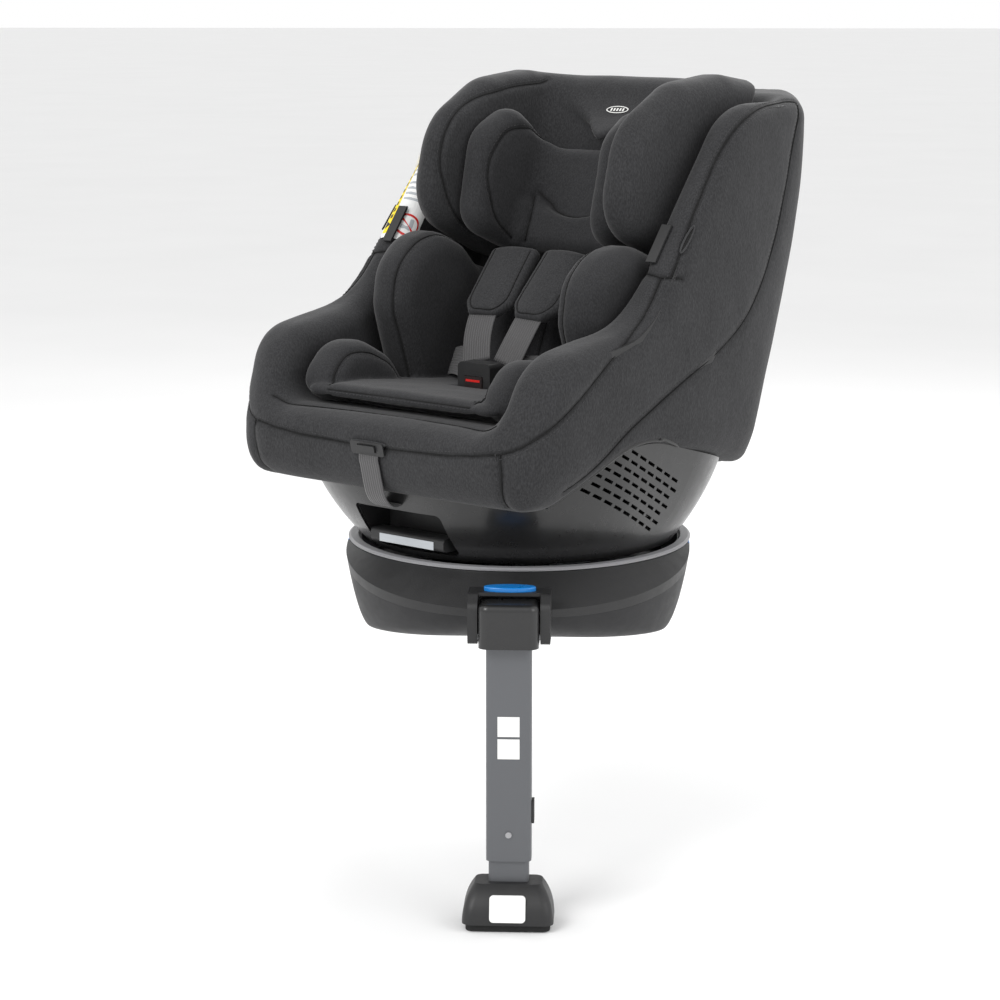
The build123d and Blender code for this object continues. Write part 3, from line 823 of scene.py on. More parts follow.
@dataclass(frozen=True)
class Foam:
    """Expanded bead foam."""

    name: str
    colour: Triple

    def make(self) -> bpy.types.Material:
        """Makes the foam with its beads.

        Returns:
            The material.
        """
        bench = Bench(self.name)
        beads = bench.cells(260.0)
        dark = tuple(c * 0.6 for c in self.colour)
        colour = bench.mixed(bench.spread(beads, 0.2, 0.7, 0, 1), self.colour, dark)
        bench.join(colour, bench.shader.inputs["Base Color"])
        bench.shader.inputs["Roughness"].default_value = 0.9
        bench.bump(beads, 0.5, 0.001)
        return bench.material


class Look(Enum):
    """Every finish on the seat, by the record's slot or the piece that it is for."""

    CHARCOAL = Cloth("charcoal_knit", (0.0155, 0.0155, 0.0165), (0.034, 0.034, 0.036))
    INSERT = Cloth(
        "insert_jersey", (0.0135, 0.0135, 0.0145), (0.029, 0.029, 0.031), sheen=0.14, weave_pitch=0.0010
    )
    THREAD = Cloth(
        "sewing_thread", (0.020, 0.020, 0.021), (0.050, 0.050, 0.052), weave_pitch=0.0006, sewn=False
    )
    # Painted shade: near-black cloth for the tubes in the seam grooves and the sheets in the slits.
    CREASE = Cloth("painted_seam_shade", (0.006, 0.006, 0.006), (0.012, 0.012, 0.012), sheen=0.0, sewn=False)
    WEBBING = Webbing("harness_webbing", (0.036, 0.035, 0.036))
    TAG = Cloth(
        "woven_tag", (0.62, 0.62, 0.60), (0.82, 0.82, 0.80), sheen=0.1, weave_pitch=0.0006, sewn=False
    )
    FOAM = Foam("bead_foam", (0.32, 0.32, 0.33))
    BLACK_GLOSS = Plastic("satin_black", (0.0085, 0.0085, 0.0088), rough=0.30, grain=0.05, coat=0.15)
    BLACK_PLASTIC = Plastic("grained_black", (0.010, 0.010, 0.0105), rough=0.46, grain=0.22)
    TRIM = Plastic("black_trim", (0.006, 0.006, 0.006), rough=0.42, grain=0.1)
    GREY_PLASTIC = Plastic("grained_grey", (0.015, 0.015, 0.016), rough=0.52, grain=0.22, level=0.3)
    RING_GREY = Plastic("ring_grey", (0.014, 0.014, 0.015), rough=0.5, grain=0.05, level=0.2)
    BLUE = Plastic("bright_blue", (0.0, 0.155, 0.48), rough=0.3, grain=0.04, coat=0.2)
    RED = Plastic("signal_red", (0.55, 0.012, 0.010), rough=0.32, grain=0.04, coat=0.3)
    BUTTON = Plastic("button_black", (0.014, 0.008, 0.008), rough=0.4, grain=0.08)
    LEG_PAINT = Metal("leg_paint", (0.125, 0.128, 0.135), rough=0.42, bare=0.35, flake=0.4)
    STEEL = Metal("drawn_steel", (0.42, 0.42, 0.43), rough=0.32)
    RUBBER = Plastic("soft_rubber", (0.012, 0.012, 0.012), rough=0.72, grain=0.4, level=0.3)
    WHITE = Plastic("printed_white", (0.72, 0.72, 0.71), rough=0.4, grain=0.03)
    LIGHT_GREY = Plastic("printed_grey", (0.36, 0.38, 0.40), rough=0.4, grain=0.03)
    YELLOW = Plastic("printed_yellow", (0.80, 0.60, 0.0), rough=0.42, grain=0.03)

    def material(self) -> bpy.types.Material:
        """The finish's material, made once."""
        return bpy.data.materials.get(self.value.name) or self.value.make()


SLOT_LOOKS = {
    "charcoal_fabric": Look.CHARCOAL,
    "insert_fabric": Look.INSERT,
    "webbing": Look.THREAD,
    "foam": Look.FOAM,
    "black_gloss": Look.BLACK_GLOSS,
    "black_plastic": Look.BLACK_PLASTIC,
    "grey_plastic": Look.GREY_PLASTIC,
    "ring_grey": Look.RING_GREY,
    "blue_plastic": Look.BLUE,
    "red_plastic": Look.BUTTON,
    "leg_paint": Look.LEG_PAINT,
    "steel": Look.STEEL,
    "rubber": Look.RUBBER,
    "label_white": Look.WHITE,
    "label_grey": Look.LIGHT_GREY,
    "label_yellow": Look.YELLOW,
}


def dress(body: bpy.types.Object, look: Look) -> None:
    """Gives a piece one finish, in place of any other."""
    body.data.materials.clear()
    body.data.materials.append(look.material())


def settle_on(
    body: bpy.types.Object, carrier: str, nodes: Sequence[str] = ()
) -> None:
    """Fixes a finished piece to the body that carries it.

    Args:
        body: The piece.
        carrier: The body that it moves with.
        nodes: Engineering parts that it stands for.
    """
    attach(body, carrier)
    if nodes:
        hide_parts(*nodes)
    LOG.info("%s rides on %s, %d faces", body.name, carrier, len(body.data.polygons))


# ---- sewing -------------------------------------------------------------------------------------
@dataclass(frozen=True)
class Seam:
    """A sewn line on a soft piece, by guide points near its surface."""

    guide: tuple[Triple, ...]
    depth: float = 2.4
    width: float = 5.0
    stitch_gap: float = 4.5
    sides: tuple[int, ...] = (1,)
    closed: bool = False
    # Radius of the dark tube of painted shade sunk under the seam's groove; no tube if nought.
    crease: float = 0.65

    def mirrored(self) -> "Seam":
        """The same seam on the seat's other side.

        Returns:
            The new seam.
        """
        guide = tuple((-x, y, z) for x, y, z in self.guide)
        sides = tuple(-side for side in self.sides)
        return Seam(guide, self.depth, self.width, self.stitch_gap, sides, self.closed, self.crease)

    def laid(self, distance: Distance, pitch: float = 2.5) -> tuple[Array, Array]:
        """Lays the seam on a surface.

        Args:
            distance: The surface's signed distance.
            pitch: How far apart its points are.

        Returns:
            The seam's line and the outward normals along it.
        """
        line = spline(self.guide, pitch, self.closed)
        line, normal = onto(distance, line, 5)
        for _ in range(2):
            inner = line.copy()
            inner[1:-1] = (line[:-2] + 2 * line[1:-1] + line[2:]) / 4
            line, normal = onto(distance, inner, 2)
        return line, normal


def stitch_tree() -> bpy.types.NodeTree:
    """Builds the tree that sews short stitches along the lines that it is given.

    Returns:
        The tree, with its pitch, stitch length, thread radius and finish as inputs.
    """
    tree = bpy.data.node_groups.new("sewn_stitches", "GeometryNodeTree")
    face = tree.interface
    face.new_socket("Geometry", in_out="INPUT", socket_type="NodeSocketGeometry")
    for name, value in (("Pitch", 0.0046), ("Length", 0.0033), ("Thread", 0.00045)):
        face.new_socket(name, in_out="INPUT", socket_type="NodeSocketFloat").default_value = value
    face.new_socket("Finish", in_out="INPUT", socket_type="NodeSocketMaterial")
    face.new_socket("Geometry", in_out="OUTPUT", socket_type="NodeSocketGeometry")
    nodes, links = tree.nodes, tree.links
    source, result = nodes.new("NodeGroupInput"), nodes.new("NodeGroupOutput")
    curve = nodes.new("GeometryNodeMeshToCurve")
    links.new(source.outputs["Geometry"], curve.inputs["Mesh"])
    evenly = nodes.new("GeometryNodeResampleCurve")
    evenly.mode = "LENGTH"
    links.new(curve.outputs["Curve"], evenly.inputs["Curve"])
    links.new(source.outputs["Pitch"], evenly.inputs["Length"])
    bead = nodes.new("GeometryNodeMeshIcoSphere")
    bead.inputs["Radius"].default_value = 1.0
    bead.inputs["Subdivisions"].default_value = 1
    half = nodes.new("ShaderNodeMath")
    half.operation = "MULTIPLY"
    half.inputs[1].default_value = 0.5
    links.new(source.outputs["Length"], half.inputs[0])
    size = nodes.new("ShaderNodeCombineXYZ")
    for axis in ("X", "Y"):
        links.new(source.outputs["Thread"], size.inputs[axis])
    links.new(half.outputs[0], size.inputs["Z"])
    shaped = nodes.new("GeometryNodeTransform")
    links.new(bead.outputs["Mesh"], shaped.inputs["Geometry"])
    links.new(size.outputs["Vector"], shaped.inputs["Scale"])
    tangent = nodes.new("GeometryNodeInputTangent")
    turned = nodes.new("FunctionNodeAlignRotationToVector")
    turned.axis = "Z"
    links.new(tangent.outputs["Tangent"], turned.inputs["Vector"])
    placed = nodes.new("GeometryNodeInstanceOnPoints")
    links.new(evenly.outputs["Curve"], placed.inputs["Points"])
    links.new(shaped.outputs["Geometry"], placed.inputs["Instance"])
    links.new(turned.outputs["Rotation"], placed.inputs["Rotation"])
    real = nodes.new("GeometryNodeRealizeInstances")
    links.new(placed.outputs["Instances"], real.inputs["Geometry"])
    dressed = nodes.new("GeometryNodeSetMaterial")
    links.new(real.outputs["Geometry"], dressed.inputs["Geometry"])
    links.new(source.outputs["Finish"], dressed.inputs["Material"])
    links.new(dressed.outputs["Geometry"], result.inputs["Geometry"])
    return tree


def baked(body: bpy.types.Object, tree: bpy.types.NodeTree, values: dict[str, object]) -> bpy.types.Object:
    """Runs a node tree on a mesh and keeps the result as a plain mesh.

    Args:
        body: The mesh that feeds the tree.
        tree: The tree.
        values: The tree's named inputs.

    Returns:
        The same object with its new mesh.
    """
    modifier = body.modifiers.new("rule", "NODES")
    modifier.node_group = tree
    named = {
        item.name: item.identifier
        for item in tree.interface.items_tree
        if item.item_type == "SOCKET" and item.in_out == "INPUT"
    }
    for name, value in values.items():
        modifier[named[name]] = value
    bpy.context.view_layer.update()
    graph = bpy.context.evaluated_depsgraph_get()
    mesh = bpy.data.meshes.new_from_object(body.evaluated_get(graph), depsgraph=graph)
    body.modifiers.remove(modifier)
    body.data = mesh
    return body


class Sewing:
    """Collects a carrier's stitch lines and dark seam tubes of painted shade, and makes one mesh of each."""

    tree: bpy.types.NodeTree | None = None

    def __init__(self, name: str, carrier: str, slot: str) -> None:
        """Starts with no lines.

        Args:
            name: What its two meshes' names start with.
            carrier: The body that they move with.
            slot: The record's slot, kept but not used.
        """
        self.name, self.carrier, self.slot = name, carrier, slot
        self.lines: list[Array] = []
        self.shade_tubes: list[tuple[Array, Faces]] = []

    def sew(self, seam: Seam, line: Array, normal: Array, relief: Distance, lift: float = 0.0) -> None:
        """Adds a seam's dark tube of painted shade in its groove, and its rows of stitches.

        Args:
            seam: The seam.
            line: Its line on the smooth surface.
            normal: The outward normals along it.
            relief: The finished surface's distance, grooves left out.
            lift: How far the cloth stands proud there.
        """
        # Painted shade: a dark tube sunk under the seam's groove stands in for the shade there.
        if seam.crease:
            sunk = line + normal * (lift - seam.depth * 0.82)
            self.shade_tubes.append(tube(sunk, seam.crease, 6, seam.closed))
        if not seam.stitch_gap:
            return
        run = np.gradient(line, axis=0)
        run /= np.maximum(np.linalg.norm(run, axis=1), 1e-9)[:, None]
        across = np.cross(run, normal)
        fall = seam.depth * math.exp(-((seam.stitch_gap / seam.width) ** 2))
        for side in seam.sides:
            row, out = onto(relief, line + across * side * seam.stitch_gap, 2)
            self.lines.append(row + out * (lift - fall + 0.12))

    def finish(self) -> None:
        """Makes the stitches and the dark tubes of painted seam shade, and fixes them to their carrier."""
        if self.shade_tubes:
            points, faces = gathered(self.shade_tubes)
            seam_shade = mesh_object(f"{self.name}_seam_shade_tubes", to_frame(points), faces)
            dress(seam_shade, Look.CREASE)
            settle_on(seam_shade, self.carrier)
        if not self.lines:
            return
        Sewing.tree = Sewing.tree or stitch_tree()
        mesh = bpy.data.meshes.new(f"{self.name}_stitches")
        points, edges, start = [], [], 0
        for line in self.lines:
            points.extend(to_frame(line).tolist())
            edges.extend([(start + i, start + i + 1) for i in range(len(line) - 1)])
            start += len(line)
        mesh.from_pydata(points, edges, [])
        body = bpy.data.objects.new(f"{self.name}_stitches", mesh)
        bpy.context.scene.collection.objects.link(body)
        baked(body, Sewing.tree, {"Finish": Look.THREAD.material()})
        settle_on(body, self.carrier)


@dataclass
class Padding:
    """One soft piece: a volume to skin, the seams sewn into it and how its cloth lies."""

    name: str
    distance: Distance
    low: Triple
    high: Triple
    step: float
    seams: list[Seam] = field(default_factory=list)
    puff: float = 1.0
    puff_reach: float = 22.0
    pucker_reach: float = 14.0
    seam_reach: float = 60.0
    ripple: float = 0.5
    look: Look = Look.CHARCOAL

    def build(self, sewing: Sewing) -> bpy.types.Object:
        """Skins the volume, presses the seams in, marks the painted shade along them and returns the piece in
        the shared frame.

        Args:
            sewing: Takes the piece's folds and stitches.

        Returns:
            The finished mesh.
        """
        points, quads = skin(self.distance, self.low, self.high, self.step)
        for share in (0.6, 0.5, 0.4):
            points, normal = onto(self.distance, evened(points, quads, share), 1)
        laid = [(seam, *seam.laid(self.distance)) for seam in self.seams]
        seam_shade = np.zeros(len(points))
        sink = np.zeros(len(points))
        away = np.full(len(points), 1e3)
        for seam, line, _ in laid:
            tree = KDTree(len(line))
            for i, place in enumerate(line):
                tree.insert(place, i)
            tree.balance()
            middle = line.mean(0)
            reach = np.linalg.norm(line - middle, axis=1).max() + self.seam_reach
            near = np.linalg.norm(points - middle, axis=1) < reach
            gaps = np.full(len(points), 1e3)
            index = np.nonzero(near)[0]
            gaps[index] = [tree.find(points[i])[2] for i in index]
            sink = np.maximum(sink, seam.depth * np.exp(-((gaps / seam.width) ** 2)))
            # Painted shade: strongest on the seam line, where the groove lies in shade; the cloth's colour is
            # darkened by it.
            seam_shade = np.maximum(seam_shade, np.exp(-((gaps / (seam.width * 0.75)) ** 2)))
            away = np.minimum(away, gaps)
        pillow = self.puff * (1 - np.exp(-((away / self.puff_reach) ** 2)))
        pull = 0.6 * np.exp(-((away / self.pucker_reach) ** 2)) * (1 - np.exp(-((away / 3.0) ** 2)))
        wrinkle = self.ripple * self.waves(points) + self.ripple * pull * self.puckers(points)
        points = points + normal * (pillow - sink + wrinkle)[:, None]
        body = mesh_object(self.name, to_frame(points), quads)
        set_field(body, "seam_shade", seam_shade)
        dress(body, self.look)
        for seam, line, out in laid:
            sewing.sew(seam, line, out, self.distance)
        return body

    @staticmethod
    def waves(points: Array) -> Array:
        """Slow, shallow unevenness of cloth over foam.

        Args:
            points: An N x 3 array in millimetres.

        Returns:
            One height for each point, around nought.
        """
        x, y, z = points.T / 1000.0
        slow = np.sin(31 * x + 13 * z + 1.3) * np.sin(23 * y - 17 * z + 0.4)
        slow = slow + np.sin(47 * z + 19 * x + 2.1) * 0.5
        quick = np.sin(83 * x - 41 * y + 0.7) * np.sin(67 * z + 59 * y + 1.9) * 0.35
        return slow * 0.6 + quick

    @staticmethod
    def puckers(points: Array) -> Array:
        """Small gathers beside a seam.

        Args:
            points: An N x 3 array in millimetres.

        Returns:
            One height for each point, around nought.
        """
        x, y, z = points.T
        return np.sin(x * 0.42 + y * 0.31) * np.sin(z * 0.47 - y * 0.23 + 0.8)


# ---- seat shell ---------------------------------------------------------------------------------
@dataclass
class SeatShell:
    """The fabric cover over the seat's shell and wings, with its trims, slits and label."""

    side: tuple = ((-226, 160), (-243, 224), (-190, 308), (-54, 328), (114, 544), (354, 551), (316, 345),
                   (229, 140), (-70, 220), (-176, 156))
    side_radii: tuple = (34, 46, 70, 110, 85, 34, 260, 26, 150, 30)
    plan: tuple = ((-208, -252), (208, -252), (222, -40), (220, 120), (184, 262), (92, 388), (-92, 388),
                   (-184, 262), (-220, 120), (-222, -40))
    plan_radii: tuple = (92, 92, 200, 150, 110, 60, 60, 110, 150, 200)
    rear: tuple = ((-224, -600), (224, -600), (222, -60), (198, 88), (102, 177), (-102, 177), (-198, 88),
                   (-222, -60))
    rear_radii: tuple = (1, 1, 150, 100, 60, 60, 100, 150)
    front: tuple = ((-168, 138), (168, 138), (214, 200), (222, 300), (204, 480), (184, 640), (-184, 640),
                    (-204, 480), (-222, 300), (-214, 200))
    front_radii: tuple = (50, 50, 60, 150, 200, 1, 1, 200, 150, 60)
    rear_lean: float = 0.383
    cavity: tuple = ((-320, 238), (-200, 238), (-110, 223), (102, 216), (252, 596.8), (252, 660), (-320, 660))
    cavity_radii: tuple = (1, 60, 60, 55, 1, 1, 1)
    cavity_half: float = 152.0
    step: float = 4.0
    rim_radius: float = 27.0
    lower_radius: float = 12.0
    inner_radius: float = 22.0
    trim_radius: float = 2.6
    slit_points: int = 40
    label_lift: float = 1.3
    label_rows: int = 10

    def __post_init__(self) -> None:
        """Works out the outlines."""
        self.side_line = Profile(self.side, self.side_radii)
        self.plan_line = Profile(self.plan, self.plan_radii)
        self.rear_line = Profile(self.rear, self.rear_radii)
        self.front_line = Profile(self.front, self.front_radii)
        self.cavity_line = Profile(self.cavity, self.cavity_radii)

    def footprint(self, x: Array, y: Array, z: Array) -> Array:
        """Distance outside the shell's outline from above, in front and behind."""
        rear = self.rear_line(x, y - self.rear_lean * z) * 0.934
        return both(both(self.plan_line(x, y), rear, 20.0), self.front_line(x, z), 20.0)

    def bulk(self, x: Array, y: Array, z: Array) -> Array:
        """Distance outside the padded shell before the seat is hollowed."""
        radius = self.lower_radius + (self.rim_radius - self.lower_radius) * between(z, 190.0, 260.0)
        return both(self.side_line(y, z), self.footprint(x, y, z), radius)

    def hollow(self, x: Array, y: Array, z: Array, grow: float = 0.0) -> Array:
        """Distance outside the space where the child sits."""
        half = self.cavity_half + 14.0 * np.clip((y + 118.0) / 112.0, 0, 1)
        return both(self.cavity_line(y, z) - grow, np.abs(x) - half - grow, 26.0)

    def lever_channel(self, x: Array, y: Array, z: Array) -> Array:
        """Distance outside the channel that the headrest's lever runs in."""
        depth, height = back_axes(y, z)
        return np.maximum(np.maximum(np.abs(x) - 36.0, np.abs(depth - 6.0) - 9.0), 344.0 - height)

    def distance(self, x: Array, y: Array, z: Array) -> Array:
        """Signed distance of the finished cover."""
        open_shell = both(self.bulk(x, y, z), -self.hollow(x, y, z), self.inner_radius)
        return np.maximum(open_shell, -self.lever_channel(x, y, z))

    def seams(self) -> list[Seam]:
        """The cover's sewn lines: the lip, the rims, the wings, the flanks and the back.

        Returns:
            Every seam, on both sides.
        """
        lip = Seam(((-166, -234, 219), (-110, -239, 212), (-50, -240, 209), (0, -240, 208), (50, -240, 209),
                    (110, -239, 212), (166, -234, 219)), depth=3.0, sides=(-1,))
        lip_top = Seam(((-150, -222, 246), (-90, -212, 243), (0, -208, 241), (90, -212, 243),
                        (150, -222, 246)), depth=1.6, stitch_gap=0)
        rim = Seam(((166, -234, 219), (184, -226, 226), (198, -208, 238), (207, -184, 253),
                    (210, -155, 272), (211, -117, 299), (207, -82, 320), (200, -46, 344),
                    (196, -15, 374)), depth=2.6, sides=(1,))
        shelf = Seam(((196, -15, 374), (204, -8, 374), (211, 6, 372)), depth=2.2, stitch_gap=0)
        inner_shelf = Seam(((196, -15, 374), (182, -14, 376), (168, -6, 378), (165, 24, 378), (165, 60, 377)),
                           depth=1.8, stitch_gap=0)
        wing = Seam(((204, -8, 374), (204, 7, 396), (200, 27, 423), (198, 48, 450), (196, 75, 483),
                     (195, 103, 509), (194, 131, 526), (189, 170, 538), (184, 215, 544),
                     (180, 262, 546)), depth=2.0, sides=(1, -1))
        front_post = Seam(((166, -234, 219), (168, -234, 201), (166, -231, 182), (163, -216, 163)), depth=2.2,
                          sides=(1,))
        flank = Seam(((180, 262, 546), (188, 236, 500), (193, 214, 447), (197, 192, 400), (203, 158, 352),
                      (208, 119, 318), (211, 72, 293), (213, 20, 272), (213, -32, 250), (211, -85, 225),
                      (206, -130, 197), (196, -170, 176)), depth=1.8, sides=(1,))
        back = Seam(((86, 300, 540), (92, 290, 480), (96, 266, 400), (98, 238, 300), (98, 210, 210)),
                    depth=2.0, sides=(1,))
        back_yoke = Seam(((-128, 268, 470), (-60, 300, 462), (0, 306, 460), (60, 300, 462),
                          (128, 268, 470)), depth=2.0, sides=(1,))
        paired = [rim, shelf, inner_shelf, wing, front_post, flank, back]
        return [lip, lip_top, back_yoke, *paired, *(seam.mirrored() for seam in paired)]

    def lower_edge(self) -> Array:
        """Finds the line where the cover's lower edge wraps under at the shell.

        Returns:
            The line's points on the +x side.
        """
        line = self.side_line.line
        start = int(np.argmin(np.hypot(line[:, 0] - 229, line[:, 1] - 140)))
        stop = int(np.argmin(np.hypot(line[:, 0] + 176, line[:, 1] - 156)))
        part = line[min(start, stop):max(start, stop) + 1]
        edge = []
        for y, z in part:
            x = np.linspace(0, 240, 481)
            gap = self.footprint(x, np.full_like(x, y), np.full_like(x, z))
            outside = np.nonzero(gap > -1.0)[0]
            if len(outside) and outside[0] > 0:
                edge.append((x[outside[0]], y, z))
        return np.array(edge)

    def build(self) -> None:
        """Builds the cover and everything fixed to it."""
        sewing = Sewing("cover", "seat", "charcoal_fabric")
        cover = Padding("seat_cover_fabric", self.distance, (-232, -256, 132), (232, 366, 566), self.step,
                        self.seams(), puff=0.8, ripple=0.45)
        body = cover.build(sewing)
        settle_on(body, "seat", ["seat_cover"])
        sewing.finish()
        self.build_trim()
        self.build_slits()
        self.build_label()

    def build_trim(self) -> None:
        """The black edging where the cover turns under at the lower shell."""
        edge = self.lower_edge()
        edge = edge[(edge[:, 1] > -178) & (edge[:, 1] < 300)]
        line = spline([tuple(p) for p in edge[:: max(len(edge) // 26, 1)]], 4.0)
        line, normal = onto(self.bulk, line, 4)
        line = line - normal * 0.6
        parts = [tube(line, self.trim_radius, 8), tube(line * np.array([-1, 1, 1]), self.trim_radius, 8)]
        points, faces = gathered([parts[0], (parts[1][0], [face[::-1] for face in parts[1][1]])])
        trim = mesh_object("cover_edge_trim", to_frame(points), faces)
        dress(trim, Look.TRIM)
        settle_on(trim, "seat")

    def build_slits(self) -> None:
        """The bound slits: one in the lip and one in each wing's rim for the harness clips, each filled with
        a dark sheet of painted shade.
        """
        loops, fills = [], []
        slits = [((0, -240, 213), (1, 0, 0), 46.0, 3.0)]
        slits += [((side * 203, 20, 410), (0, 0.67, 0.74), 34.0, 5.0) for side in (-1, 1)]
        for centre, run, length, width in slits:
            middle, normal = onto(self.distance, np.array([centre], float), 5)
            run = np.array(run) - normal[0] * float(np.dot(run, normal[0]))
            run /= np.linalg.norm(run)
            across = np.cross(normal[0], run)
            turn = np.linspace(0, 2 * np.pi, self.slit_points, endpoint=False)
            long, wide = np.cos(turn)[:, None] * length / 2, np.sin(turn)[:, None] * width / 2
            outline, out = onto(self.distance, middle + run * long + across * wide, 3)
            loops.append(tube(outline + out * 1.0, 0.95, 6, True))
            rim = outline + out * 0.9
            hub = [[i, (i + 1) % self.slit_points, self.slit_points] for i in range(self.slit_points)]
            fills.append((np.concatenate([rim, rim.mean(0)[None]]), hub))
        points, faces = gathered(loops)
        binding = mesh_object("slit_bindings", to_frame(points), faces)
        dress(binding, Look.THREAD)
        settle_on(binding, "seat")
        # Painted shade: a dark sheet inside each binding stands for the shade in the slit.
        points, faces = gathered(fills)
        dark = mesh_object("slit_shade_fills", to_frame(points), faces)
        dress(dark, Look.CREASE)
        settle_on(dark, "seat")

    def build_label(self) -> None:
        """The notice on the wing's rim: a white field, a yellow bar, grey marks and a red ring, no words."""
        up = np.array([-14.0, 70.0, 100.0]) / math.hypot(14, 70, 100)
        wide = np.array([0.80, 0.60, -0.10])
        wide -= up * float(wide @ up)
        wide /= np.linalg.norm(wide)
        origin = np.array([-178.0, 2.0, 389.0]) - wide * 17.0

        def plate(outline: Sequence[Pair], lift: float) -> tuple[Array, Faces]:
            """Lays a printed shape on the cover.

            Args:
                outline: The shape, counter-clockwise, across and up the notice.
                lift: How far it stands over the notice's field.

            Returns:
                Points and faces.
            """
            rings, rows = [], self.label_rows
            line = np.array(outline, float)
            middle = line.mean(0)
            for share in np.linspace(0, 1, rows + 1)[1:]:
                rings.append(middle + (line - middle) * share)
            flat = np.concatenate([middle[None], *rings])
            laid, normal = onto(self.distance, origin + flat[:, :1] * wide + flat[:, 1:] * up, 4)
            count = len(line)
            faces = [[0, 1 + i, 1 + (i + 1) % count] for i in range(count)]
            for row in range(rows - 1):
                a, b = 1 + row * count, 1 + (row + 1) * count
                faces += [[a + i, b + i, b + (i + 1) % count, a + (i + 1) % count] for i in range(count)]
            return laid + normal * (self.label_lift + lift), faces

        def box_outline(a0: float, a1: float, b0: float, b1: float, radius: float) -> list[Pair]:
            """A box with rounded corners.

            Args:
                a0: Its left side.
                a1: Its right side.
                b0: Its bottom.
                b1: Its top.
                radius: Its corners' radius.

            Returns:
                Its outline, counter-clockwise.
            """
            corners = rounded_line([(a0, b0), (a1, b0), (a1, b1), (a0, b1)], [radius] * 4, 3)
            line = []
            for p, q in zip(corners, np.roll(corners, -1, 0)):
                count = max(int(np.linalg.norm(q - p) / 5.0), 1)
                line.extend(tuple(p + (q - p) * k / count) for k in range(count))
            return line

        turn = np.linspace(0, 2 * np.pi, 36, endpoint=False)
        ring_at, ring_out, ring_in = (24.0, 18.0), 13.5, 10.8
        outer = [(ring_at[0] + ring_out * math.cos(t), ring_at[1] + ring_out * math.sin(t)) for t in turn]
        inner = [(ring_at[0] + ring_in * math.cos(t), ring_at[1] + ring_in * math.sin(t)) for t in turn]
        ends = ((-9.6, 7.2), (7.2, -9.6), (9.6, -7.2), (-7.2, 9.6))
        bar = [(ring_at[0] + a, ring_at[1] + b) for a, b in ends]
        groups = {
            ("notice_field", Look.WHITE, "label_white"): [plate(box_outline(-8, 42, -2, 118, 6), 0.0)],
            ("notice_bar", Look.YELLOW, "label_yellow"): [plate(box_outline(-5, 9, 4, 112, 2), 0.25)],
            ("notice_ring", Look.RED, "red_plastic"): [plate(outer, 0.3), plate(bar, 0.75)],
            ("notice_ring_middle", Look.WHITE, "label_white"): [plate(inner, 0.5)],
            ("notice_marks", Look.LIGHT_GREY, "label_grey"): [
                *(plate(box_outline(13, 36, b, b + 3.0, 0.6), 0.3)
                  for b in (48, 55, 62, 69, 80, 87, 94, 101)),
                plate(box_outline(18, 27, 12, 17, 1.5), 0.62),
                plate(box_outline(25, 29, 15, 26, 1.5), 0.62),
            ],
            ("notice_bar_marks", Look.TRIM, "black_plastic"): [
                plate(box_outline(-1, 5, b, b + 5.0, 0.8), 0.5) for b in (24, 33, 42, 51, 60, 69, 78, 87, 96)
            ] + [plate([(-3, 10), (7, 15), (-3, 20)], 0.5)],
        }
        for (name, look, slot), parts in groups.items():
            points, faces = gathered(parts)
            body = mesh_object(name, to_frame(points), faces, smooth=False)
            dress(body, look)
            settle_on(body, "seat", ["warning_label"] if name == "notice_field" else ())


